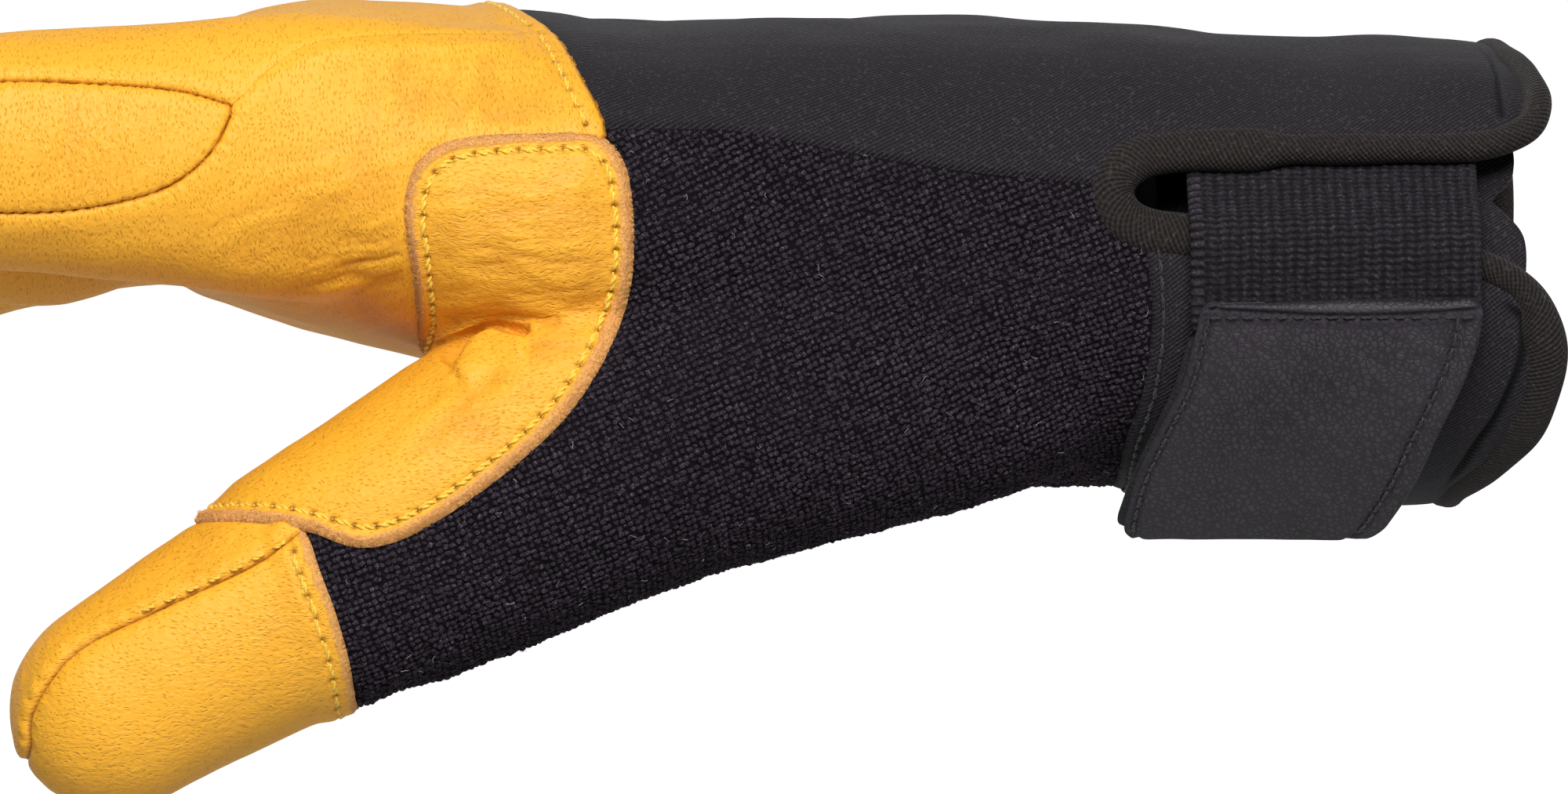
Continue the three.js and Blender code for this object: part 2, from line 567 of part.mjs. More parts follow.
const COLOURS = {
  leather: { color: 0xf0b235, roughness: 0.6 },
  terry: { color: 0x1d1b20, roughness: 0.95 },
  softshell: { color: 0x26252b, roughness: 0.85 },
  trim: { color: 0x2a2826, roughness: 0.8 },
  tab: { color: 0x2b2a2f, roughness: 0.55 },
};
const FINISH = {
  terry_panel: 'terry', back_softshell: 'softshell', cuff_palm: 'softshell', slit_gusset: 'softshell',
  cuff_binding: 'trim', strap_elastic: 'trim', strap_tab: 'tab', hook_pad: 'trim',
};

function meshOf(name, solid) {
  const { vertProperties, triVerts } = solid.getMesh();
  const geometry = new THREE.BufferGeometry();
  geometry.setAttribute('position', new THREE.BufferAttribute(new Float32Array(vertProperties), 3));
  geometry.setIndex(new THREE.BufferAttribute(new Uint32Array(triVerts), 1));
  geometry.computeVertexNormals();
  const mesh = new THREE.Mesh(geometry, new THREE.MeshStandardMaterial(COLOURS[FINISH[name] ?? 'leather']));
  mesh.name = name;
  return mesh;
}

const glove = new THREE.Group();
for (const [name, solid] of Object.entries(pieces)) glove.add(meshOf(name, solid));

export default glove;
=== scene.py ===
import math

import bpy
import numpy as np
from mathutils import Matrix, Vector, bvhtree, kdtree


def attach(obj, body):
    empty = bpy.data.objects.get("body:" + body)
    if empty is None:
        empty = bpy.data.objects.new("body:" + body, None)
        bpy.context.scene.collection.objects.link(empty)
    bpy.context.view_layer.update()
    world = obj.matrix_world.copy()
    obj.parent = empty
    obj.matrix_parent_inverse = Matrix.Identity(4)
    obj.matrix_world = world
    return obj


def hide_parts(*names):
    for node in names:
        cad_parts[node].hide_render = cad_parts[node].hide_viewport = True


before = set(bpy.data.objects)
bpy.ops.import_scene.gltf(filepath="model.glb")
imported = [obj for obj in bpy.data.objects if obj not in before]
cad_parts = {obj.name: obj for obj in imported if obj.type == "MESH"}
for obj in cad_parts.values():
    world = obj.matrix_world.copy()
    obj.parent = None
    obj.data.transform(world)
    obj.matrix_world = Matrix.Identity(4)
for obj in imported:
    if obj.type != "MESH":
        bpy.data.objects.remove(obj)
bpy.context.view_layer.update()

bl_info = {
    "name": "Mountaineering glove",
    "version": (1, 0, 0),
    "blender": (4, 5, 0),
    "location": "View3D > Sidebar > Glove",
    "description": "Sews a leather and softshell glove over its packed frame",
    "category": "Add Mesh",
}

# All tables are in millimetres, in the frame of the CAD part: +X out of the cuff mouth,
# -Y the thumb side, +Z the back of the hand.
MM = 0.001
# Hand sections: x, top, bottom, y, half width, power of the oval.
HAND = np.array([
    [6, 26.6, -27.4, 0, 43.5, 2.3], [-8, 27.6, -28.2, 0, 43, 2.3], [-24, 28.5, -28.2, 0, 41.5, 2.3],
    [-40, 29.1, -27, 0, 39.4, 2.3], [-52, 30.1, -25.9, 0, 38.6, 2.3], [-64, 30.3, -25.4, 0, 39.4, 2.3],
    [-80, 30.5, -23.8, 0, 42, 2.35], [-96, 30.3, -20.6, 0, 45.2, 2.4], [-110, 30, -17.2, 0, 47.8, 2.45],
    [-122, 31.4, -13.8, 0, 49.2, 2.5], [-135, 32.4, -10.6, 0, 49.8, 2.55],
    [-147, 32.5, -7.6, -0.4, 49.6, 2.55], [-157, 30.6, -4.6, -0.8, 48.4, 2.5],
    [-164, 27.4, -1.6, -1, 45.6, 2.4], [-168.5, 22, 4, -1, 40, 2.2],
])
# Finger and thumb sections: x, y, z, half width, half height.
FINGERS = [np.array(rows, float) for rows in (
    [[-122, -32, 14.2, 13, 14], [-145, -36, 13.2, 13.4, 17.4], [-165, -37.8, 13.4, 12.5, 15.6],
     [-184, -39.5, 13.7, 12, 14.1], [-200, -41, 12.4, 11.8, 13.4], [-214, -42.3, 9.4, 11.2, 12.3],
     [-232, -43.8, 3.2, 10.6, 11]],
    [[-124, -11.6, 15, 12, 14], [-149, -12, 12.4, 12.4, 15.6], [-168, -12.4, 11.4, 12, 12.8],
     [-180, -12.6, 9.7, 12, 14.2], [-190, -12.7, 9.5, 11.8, 13.1], [-206, -12.9, 8.2, 11.6, 13.2],
     [-222, -13, 4.4, 11, 12.2], [-243, -13.1, -3.2, 10.4, 10.8]],
    [[-120, 11.4, 14.4, 12, 14], [-144, 12, 12.5, 12, 15.4], [-168, 13.3, 11.6, 11.7, 12.9],
     [-184, 14.4, 9.6, 11.5, 12.8], [-202, 15.6, 6.4, 11.2, 12.4], [-217, 16.6, 1.8, 10.7, 11.5],
     [-234, 17.7, -5.4, 10.2, 10.5]],
    [[-112, 32, 12.6, 11, 12], [-134, 34.6, 10.6, 11.4, 14], [-152, 37, 10, 10.8, 12.2],
     [-168, 39.6, 9.6, 10.4, 11], [-182, 42, 7.4, 10.2, 10.8], [-195, 44.2, 3.4, 9.8, 10.2],
     [-208, 46.2, -2.6, 9.2, 9.5]],
)]
THUMB = np.array([
    [-56, -17, -8.6, 15, 14], [-66, -19.5, -9.6, 17, 17.4], [-78, -22, -10.8, 18.4, 19.2],
    [-89.5, -25.5, -13.2, 19, 19.4], [-101, -29, -16.4, 18.8, 19.4], [-113.6, -32.4, -21.6, 18, 18.6],
    [-126.2, -35, -27.6, 16.8, 17.5], [-138, -37, -33.8, 15.6, 16], [-149.2, -38.6, -39.6, 14.6, 14.4],
    [-160.6, -39.8, -46, 13.4, 13.2], [-169.3, -40.6, -51.3, 12.3, 12.5],
])
FINGER_POWER = 2.2
TIP_LENGTHEN = 1.0
# Seams as drawn from the thumb side, each a list of (x, z).
KNUCKLE_HEM = [
    (-127.5, 60), (-126.5, 33), (-123.5, 31), (-118.5, 27.4), (-115, 21.8), (-112.5, 16.3), (-112.2, 5),
]
RIDGE_SEAM = [(-155.6, 18.8), (-151.8, 23), (-147, 26.2), (-140, 27.3), (-100, 27.6)]
STRIP_UPPER = [
    (-155.6, 18.8), (-161.8, 20.6), (-173, 21.6), (-184, 21.8), (-201, 20.2), (-217, 15.6), (-236, 7),
    (-250, 0),
]
STRIP_LOWER = [
    (-250, -5), (-236, 0.5), (-217, 4.6), (-201, 7), (-184, 6), (-173, 6.6), (-163, 9.4), (-158, 13.8),
    (-155.6, 18.8),
]
PATCH_OUTLINE = [
    (-134.1, -10.8), (-134.3, -2), (-135.2, 7.6), (-133.6, 12.3), (-130.2, 14.3), (-119, 15.2),
    (-113, 15), (-110.4, 12.1), (-109.4, 6.9), (-109.5, -1.5), (-111.4, -8), (-114.8, -14.4),
    (-118.8, -19.3), (-128.3, -27.1), (-136.5, -31.8), (-141.2, -32.5), (-147.5, -30.4), (-158, -29.6),
    (-170, -32),
]
PATCH_PALM_LINE = -27.0
TIP_HEM = [
    (-147.5, -30.4), (-145.7, -35.8), (-143.9, -40.7), (-142.4, -46.5), (-141.6, -53), (-138, -75),
]
TIP_SEAM = [
    (-146, -29.8), (-152.4, -34.4), (-164.7, -40.2), (-174.2, -45), (-178.1, -49.6), (-180, -53.6),
    (-180, -56.6), (-181.2, -58.8), (-188, -62), (-188, -75),
]
TERRY_SEAM = [(-118, 16.6), (-112.3, 16.4), (-97, 16.2), (-88, 14.5), (-72, 11.7), (-50, 9.4), (-46, 9.2)]
TERRY_EDGE = [(-48.6, 9.2), (-48.2, 2.3), (-47.4, -5.4), (-48.4, -14.9), (-50.4, -21.6), (-53, -60)]
TERRY_PALM_LINE = -13.0
THUMB_BACK = [
    (-175, -49.5), (-140.5, -31.5), (-128, -26.6), (-112, -17), (-104, -12), (-96, -60), (-175, -90),
]
FAR_SEAM = [(-155, 12.4), (-112, 10.6), (-90, 3), (-54, -4)]
SLIT_UPPER = [
    (-4.6, 25), (-2.8, 22.6), (-1.9, 19.4), (-3.4, 16.4), (-8, 14.5), (-20, 14), (-34, 13.9), (-44, 13.7),
    (-49, 12.9), (-51.7, 11),
]
SLIT_LOWER = [
    (-52.4, 8.4), (-51, 5.8), (-48, 4.2), (-42, 3.6), (-28, 3.2), (-14, 1.6), (-6.4, -1), (-2.4, -4.2),
    (-0.5, -9), (-1.8, -17), (-5.6, -22.6), (-10.6, -26.3),
]
FAR_MOUTH = [(-10.6, -26.3), (-5.4, -21), (-2.6, -10), (-2, 2), (-2.6, 14), (-5, 24)]
MOUTH_TOP_X, MOUTH_BOTTOM_X, BINDING_INSET = -6.0, -11.0, 1.1
# Sheets on the near side of the cuff: z, left, right, depth behind the cuff surface.
STRAP = np.array([
    [17, -43.6, -9.4, 4.7], [15.4, -43.6, -9.4, 4.2], [11.8, -43.6, -9.4, 3.7], [7.8, -43.5, -9.4, -0.8],
    [5.4, -43.4, -9.3, -3.4], [2, -43.3, -9.3, -3.5], [-2, -43.3, -9.2, -2.6], [-7.4, -43.2, -9.2, -2.5],
])
HOOK_PAD = np.array([
    [-8.3, -43.4, -9.8, -2.1], [-14, -45, -11.6, -2.4], [-20, -47.6, -14.2, -4.6], [-26, -50.2, -17, -1.8],
    [-31.2, -51.8, -21, 4.2],
])
TAB = np.array([
    [-4.4, -42, -9, -4.6], [-9.2, -43, -9.6, -4.5], [-14.4, -44.3, -11.4, -4.6], [-20, -47, -14, -7.1],
    [-26, -49.6, -16.6, -4.7], [-32.4, -51, -20.6, 1.9],
])
GUSSET = np.array([
    [19.2, -47, -6.6, 5.6], [17.6, -47, -5.4, 7.6], [12.6, -47, -4.6, 6.7], [10, -47, -5.6, 7.4],
    [8.1, -47, -7.4, 9.6], [6.4, -47, -5.8, 7], [3.6, -47, -3.8, 5.6], [-0.4, -47, -3.6, 3.8],
    [-4, -47, -4.4, 3.3],
])
SHEET_FLOOR = -21.0
FINGER_START, FINGER_END = -156.0, -275.0
STRIP_HALF_HEIGHT, STRIP_TAPER = 7.5, 2.5
INDEX_STRIP_START, LITTLE_STRIP_START = -150.0, -146.0
# A distance past every edge of the glove.
FAR = 90.0


def linear(hex_colour):
    """An sRGB hex colour as linear numbers."""
    channels = [int(hex_colour[i:i + 2], 16) / 255 for i in (1, 3, 5)]
    return tuple(c / 12.92 if c <= 0.04045 else ((c + 0.055) / 1.055) ** 2.4 for c in channels)


def length(name, words, millimetres):
    """A property that holds a length, given in millimetres."""
    return bpy.props.FloatProperty(
        name=name, description=words, default=millimetres * MM, min=0, subtype="DISTANCE", unit="LENGTH")


def colour(name, words, hex_colour):
    """A property that holds a colour, given as an sRGB hex value."""
    return bpy.props.FloatVectorProperty(
        name=name, description=words, default=linear(hex_colour), size=3, min=0, max=1, subtype="COLOR")


class GloveSizes(bpy.types.PropertyGroup):
    skin_step: length("Skin step", "Spacing of the points of the glove's skin", 1.4)
    wall: length("Wall", "Thickness of the panels with their lining", 2.1)
    seam_roll: length("Seam roll", "Radius with which a turned seam rolls in", 0.8)
    patch_lift: length("Patch lift", "How far the thumb patch lies above the panels under it", 0.85)
    raw_band: length("Raw band", "Width of the cut suede edge of the thumb patch", 0.9)
    stitch_pitch: length("Stitch", "Length of one stitch on the leather", 2.6)
    stitch_inset: length("Stitch inset", "Distance of the stitches from the patch's edge", 1.7)
    thread: length("Thread", "Thickness of the sewing thread", 0.66)
    terry_pitch: length("Terry loop", "Spacing of the loops of the terry", 0.78)
    binding: length("Binding", "Radius of the stuffed binding", 1.75)
    strap: length("Strap", "Thickness of the elastic strap", 1.8)
    tab: length("Tab", "Thickness of the leather tab", 1.5)
    pad: length("Hook pad", "Thickness of the fastening pad", 1.3)
    gusset: length("Gusset", "Thickness of the gusset cloth", 1.4)


class GloveColours(bpy.types.PropertyGroup):
    leather: colour("Leather", "Golden goat leather", "#EEAB2B")
    suede: colour("Suede edge", "Cut edge of the leather", "#E2A45C")
    thread: colour("Thread", "Yellow sewing thread", "#EFC23A")
    terry: colour("Terry", "Knitted terry", "#262027")
    softshell: colour("Softshell", "Stretch twill softshell", "#242025")
    twill: colour("Twill", "Binding", "#26211F")
    elastic: colour("Elastic", "Woven elastic strap", "#161317")
    tab: colour("Tab leather", "Black leather of the tab", "#312A33")
    hook: colour("Hook tape", "Fastening tape", "#19191B")
    lining: colour("Lining", "Brushed lining inside the glove", "#2A2A2D")
    stage: colour("Stage", "Floor and backdrop", "#F7F7F7")


def sizes(name):
    """One of the glove's sizes in millimetres."""
    return getattr(bpy.context.scene.glove_sizes, name) / MM


def tint(name):
    """One of the glove's colours, opaque."""
    return (*getattr(bpy.context.scene.glove_colours, name), 1.0)


# ---- shapes in numbers

def smooth_rows(rows, t):
    """Rows between the rows of a table, t from 0 to 1 along it."""
    place = np.clip(t, 0, 1) * (len(rows) - 1)
    i = np.minimum(place.astype(int), len(rows) - 2)
    f = (place - i)[:, None]
    a, b, c, d = (rows[np.clip(i + k, 0, len(rows) - 1)] for k in (-1, 0, 1, 2))
    return b + 0.5 * f * (c - a + f * (2 * a - 5 * b + 4 * c - d + f * (3 * (b - c) + d - a)))


def curved(points, step=1.0):
    """A smooth line through the points, with a point about every step."""
    p = np.array(points, float)
    chord = np.linalg.norm(np.diff(p, axis=0), axis=1)
    gap = np.sqrt(chord)
    slope = np.diff(p, axis=0) / gap[:, None]
    inner = (slope[:-1] * gap[1:, None] + slope[1:] * gap[:-1, None]) / (gap[:-1] + gap[1:])[:, None]
    bend = np.vstack([slope[:1], inner, slope[-1:]])
    line = []
    for i, h in enumerate(gap):
        f = np.linspace(0, 1, max(1, round(chord[i] / step)), endpoint=False)[:, None]
        line.append(p[i] * (1 + 2 * f) * (1 - f) ** 2 + p[i + 1] * f * f * (3 - 2 * f)
                    + h * bend[i] * f * (1 - f) ** 2 - h * bend[i + 1] * f * f * (1 - f))
    return np.vstack(line + [p[-1:]])


def unit(vectors):
    """Vectors brought to length one."""
    return vectors / np.maximum(np.linalg.norm(vectors, axis=-1, keepdims=True), 1e-9)


def ramp(value, low, high):
    """A smooth step from 0 at low to 1 at high."""
    f = np.clip((value - low) / (high - low), 0, 1)
    return f * f * (3 - 2 * f)


def bell(value, centre, width):
    """A smooth bump of height 1 round a centre."""
    return np.exp(-((value - centre) / width) ** 2)


def noise(points, scale, seed=0):
    """Smooth random values from -1 to 1, one bump for each scale in millimetres."""
    p = points / scale + 31.7 * seed
    cell = np.floor(p).astype(np.int64)
    f = p - cell
    f = f * f * f * (f * (6 * f - 15) + 10)
    total = np.zeros(len(p))
    for dx in (0, 1):
        for dy in (0, 1):
            for dz in (0, 1):
                c = cell + (dx, dy, dz)
                h = (c[:, 0] * 73856093) ^ (c[:, 1] * 19349663) ^ (c[:, 2] * 83492791) ^ (seed * 2654435)
                h = ((h ^ (h >> 15)) * 73244475) & 0xFFFFFFFF
                h = ((h ^ (h >> 13)) * 40503) & 0xFFFF
                weight = (np.where(dx, f[:, 0], 1 - f[:, 0]) * np.where(dy, f[:, 1], 1 - f[:, 1])
                          * np.where(dz, f[:, 2], 1 - f[:, 2]))
                total += weight * (h / 32767.5 - 1)
    return total


def ovals(centres, across, up, half, height, power, sides):
    """Rings of points round centres, each a superellipse."""
    angle = np.linspace(0, 2 * np.pi, sides, endpoint=False)
    power = np.broadcast_to(power, len(centres))[:, None]
    u = np.sign(np.cos(angle)) * np.abs(np.cos(angle)) ** (2 / power) * half[:, None]
    v = np.sign(np.sin(angle)) * np.abs(np.sin(angle)) ** (2 / power) * height[:, None]
    return centres[:, None] + u[..., None] * across[:, None] + v[..., None] * up[:, None]


def skinned(rings):
    """Points and triangles of a closed skin over rings, with a fan at each end."""
    count, sides = rings.shape[:2]
    points = np.vstack([rings.reshape(-1, 3), rings[0].mean(0), rings[-1].mean(0)])
    i = np.arange(sides)
    j = (i + 1) % sides
    tris = []
    for r in range(count - 1):
        a, b = r * sides, (r + 1) * sides
        tris += [np.stack([a + i, a + j, b + i], 1), np.stack([a + j, b + j, b + i], 1)]
    last = (count - 1) * sides
    tris += [np.stack([i * 0 + len(points) - 2, j, i], 1)]
    tris += [np.stack([i * 0 + len(points) - 1, last + i, last + j], 1)]
    return points, outward(points, np.vstack(tris))


def outward(points, tris):
    """Triangles of a closed skin, turned so that they face out."""
    a, b, c = points[tris].transpose(1, 0, 2)
    return tris if np.einsum("ij,ij->", a, np.cross(b, c)) > 0 else tris[:, ::-1]


def joined(shapes):
    """Points and triangles of several shapes as one."""
    start, points, tris = 0, [], []
    for p, t in shapes:
        points.append(p)
        tris.append(t + start)
        start += len(p)
    return np.vstack(points), np.vstack(tris)


def hand_loft(sides=110, steps=90):
    """The skin of the hand and the cuff, without the fingers."""
    rows = smooth_rows(HAND, np.linspace(0, 1, steps))
    centres = np.stack([rows[:, 0], rows[:, 3], (rows[:, 1] + rows[:, 2]) / 2], 1)
    across = np.broadcast_to((0.0, 1.0, 0.0), centres.shape)
    up = np.broadcast_to((0.0, 0.0, 1.0), centres.shape)
    return skinned(ovals(centres, across, up, rows[:, 4], (rows[:, 1] - rows[:, 2]) / 2, rows[:, 5], sides))


def finger_loft(rows, sides=64, steps=60):
    """The skin of a finger or the thumb, with a round tip."""
    rows = smooth_rows(rows, np.linspace(0, 1, steps))
    along = unit(np.gradient(rows[:, :3], axis=0))
    turn = np.radians(np.linspace(6, 87, 14))
    reach = (rows[-1, 4] + TIP_LENGTHEN) * np.sin(turn)
    centres = np.vstack([rows[:, :3], rows[-1, :3] + reach[:, None] * along[-1]])
    along = np.vstack([along, np.repeat(along[-1:], len(turn), 0)])
    half = np.concatenate([rows[:, 3], rows[-1, 3] * np.cos(turn)])
    height = np.concatenate([rows[:, 4], rows[-1, 4] * np.cos(turn)])
    across = unit(np.cross((0, 0, 1), along))
    return skinned(ovals(centres, across, np.cross(along, across), half, height, FINGER_POWER, sides))


def mesh_of(name, points, tris):
    """A Blender mesh from points in millimetres."""
    mesh = bpy.data.meshes.new(name)
    mesh.vertices.add(len(points))
    mesh.vertices.foreach_set("co", (points * MM).astype(np.float32).ravel())
    mesh.loops.add(3 * len(tris))
    mesh.loops.foreach_set("vertex_index", tris.astype(np.int32).ravel())
    mesh.polygons.add(len(tris))
    mesh.polygons.foreach_set("loop_start", np.arange(0, 3 * len(tris), 3, dtype=np.int32))
    mesh.polygons.foreach_set("use_smooth", np.ones(len(tris), bool))
    mesh.update()
    mesh.validate()
    return mesh


def piece(name, points, tris, materials, slot, face_material=None, **fields):
    """A shown piece of the glove that rides on its body. Fields become attributes of its points."""
    mesh = mesh_of(name, points, tris)
    for key, values in fields.items():
        values = np.asarray(values, np.float32)
        kind = "FLOAT" if values.ndim == 1 else "FLOAT_VECTOR"
        layer = mesh.attributes.new(key, kind, "POINT")
        layer.data.foreach_set("value" if values.ndim == 1 else "vector", values.ravel())
    for material in materials:
        mesh.materials.append(material)
    if face_material is not None:
        mesh.polygons.foreach_set("material_index", np.asarray(face_material, np.int32))
    shown = bpy.data.objects.new(name, mesh)
    bpy.context.scene.collection.objects.link(shown)
    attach(shown, "root")
    return shown


def neighbours_mean(values, edges, count):
    """The mean of each point's neighbours."""
    a, b = edges.T
    share = np.bincount(a, minlength=count) + np.bincount(b, minlength=count)
    sums = [np.bincount(a, values[b, k], count) + np.bincount(b, values[a, k], count) for k in range(3)]
    return np.stack(sums, 1) / np.maximum(share, 1)[:, None]


def edges_of(tris):
    """Each edge once, its points in rising order."""
    pairs = np.sort(tris[:, [0, 1, 1, 2, 2, 0]].reshape(-1, 2), axis=1)
    keys = np.unique(pairs[:, 0] * (1 << 31) + pairs[:, 1])
    return np.stack([keys >> 31, keys & ((1 << 31) - 1)], 1)


def face_vectors(points, tris):
    """Each triangle's normal, twice as long as its area; for flat points, twice its signed area."""
    a, b, c = points[tris].transpose(1, 0, 2)
    return np.cross(b - a, c - a)


def normals_of(points, tris):
    """Normals of the points, each triangle weighing by its area."""
    face = face_vectors(points, tris)
    total = np.stack([sum(np.bincount(tris[:, k], face[:, i], len(points)) for k in range(3))
                      for i in range(3)], 1)
    return unit(total)


def flat_points(flat):
    """Points of a flat pattern with a height of 0."""
    return np.column_stack([flat, np.zeros(len(flat))])


def copies(faces, count, points_each):
    """The triangles of one small shape for each of its copies."""
    return (faces[None] + np.arange(count)[:, None, None] * points_each).reshape(-1, 3)


# The crotch of the thumb, and how far from it the extra smoothing there starts and is full.
CROTCH = np.array([-134.0, -34.0, -17.0])
CROTCH_START, CROTCH_FULL = 22, 8
# Rounds of smoothing all over, and in all with those at the crotch.
ROUNDS_ALL_OVER, ROUNDS = 14, 34


def worn_skin():
    """The outside of the whole filled glove as one even skin, smoothed where its forms meet."""
    points, tris = joined([hand_loft(), finger_loft(THUMB)] + [finger_loft(rows) for rows in FINGERS])
    rough = bpy.data.objects.new("rough", mesh_of("rough", points, tris))
    bpy.context.scene.collection.objects.link(rough)
    remesh = rough.modifiers.new("even", "REMESH")
    remesh.mode = "VOXEL"
    remesh.voxel_size = bpy.context.scene.glove_sizes.skin_step
    even = rough.evaluated_get(bpy.context.evaluated_depsgraph_get()).to_mesh()
    even.calc_loop_triangles()
    points = np.empty(3 * len(even.vertices), np.float32)
    even.vertices.foreach_get("co", points)
    tris = np.empty(3 * len(even.loop_triangles), np.int32)
    even.loop_triangles.foreach_get("vertices", tris)
    bpy.data.meshes.remove(rough.data)
    points, tris = points.reshape(-1, 3).astype(float) / MM, tris.reshape(-1, 3).astype(np.int64)
    edges = edges_of(tris)
    crotch = np.linalg.norm(points - CROTCH, axis=1)
    soften = ramp(crotch, CROTCH_START, CROTCH_FULL)[:, None]
    for turn in range(ROUNDS):
        pull = neighbours_mean(points, edges, len(points)) - points
        step = 0.5 if turn % 2 == 0 else -0.51
        points = points + pull * (step if turn < ROUNDS_ALL_OVER else 0.5 * soften)
    return points, normals_of(points, tris), tris


# ---- the seams

def side_of(outline, x, z):
    """Distance from an outline, negative inside it."""
    a = np.asarray(outline, float)
    best, inside = np.full(len(x), 1e9), np.zeros(len(x), bool)
    for (ax, az), (bx, bz) in zip(a, np.roll(a, -1, axis=0)):
        ux, uz = bx - ax, bz - az
        t = np.clip(((x - ax) * ux + (z - az) * uz) / max(ux * ux + uz * uz, 1e-12), 0, 1)
        best = np.minimum(best, (x - ax - t * ux) ** 2 + (z - az - t * uz) ** 2)
        if az != bz:
            inside ^= ((az > z) != (bz > z)) & (x < ax + (z - az) / (bz - az) * ux)
    return np.where(inside, -1, 1) * np.sqrt(best)


def along_finger(k, x, column):
    """A column of a finger's table at places along X, carried on straight past its ends."""
    rows = FINGERS[k][::-1]
    value = np.interp(x, rows[:, 0], rows[:, column])
    for a, b, beyond in ((rows[0], rows[1], x < rows[0, 0]), (rows[-1], rows[-2], x > rows[-1, 0])):
        slope = (b[column] - a[column]) / (b[0] - a[0])
        value = np.where(beyond, a[column] + slope * (x - a[0]), value)
    return value


def lane(k, p, half, start):
    """The strip of the plan beside a finger's middle line, half -1 towards the thumb side or 1."""
    x, y = p[:, 0], p[:, 1]
    middle = along_finger(k, x, 1)
    other = k + half
    if 0 <= other <= 3:
        edge = (middle + along_finger(other, x, 1)) / 2
    else:
        edge = middle + FAR * half
    low, high = (edge, middle) if half < 0 else (middle, edge)
    return np.maximum.reduce([low - y, y - high, x - start])


def strip(k, p, start):
    """The side strip of a finger, as drawn from its side."""
    x, z = p[:, 0], p[:, 2]
    half = STRIP_HALF_HEIGHT - STRIP_TAPER * (start - x) / (start - FINGER_END)
    if start > FINGER_START:
        half *= np.sqrt(np.clip((start - x + 0.3) / 22, 0, 1))
    return np.abs(z - along_finger(k, x, 2)) - half


def corners(line, *more):
    """An outline of a smooth line and some corners."""
    return np.vstack([curved(line), np.array(more, float)])


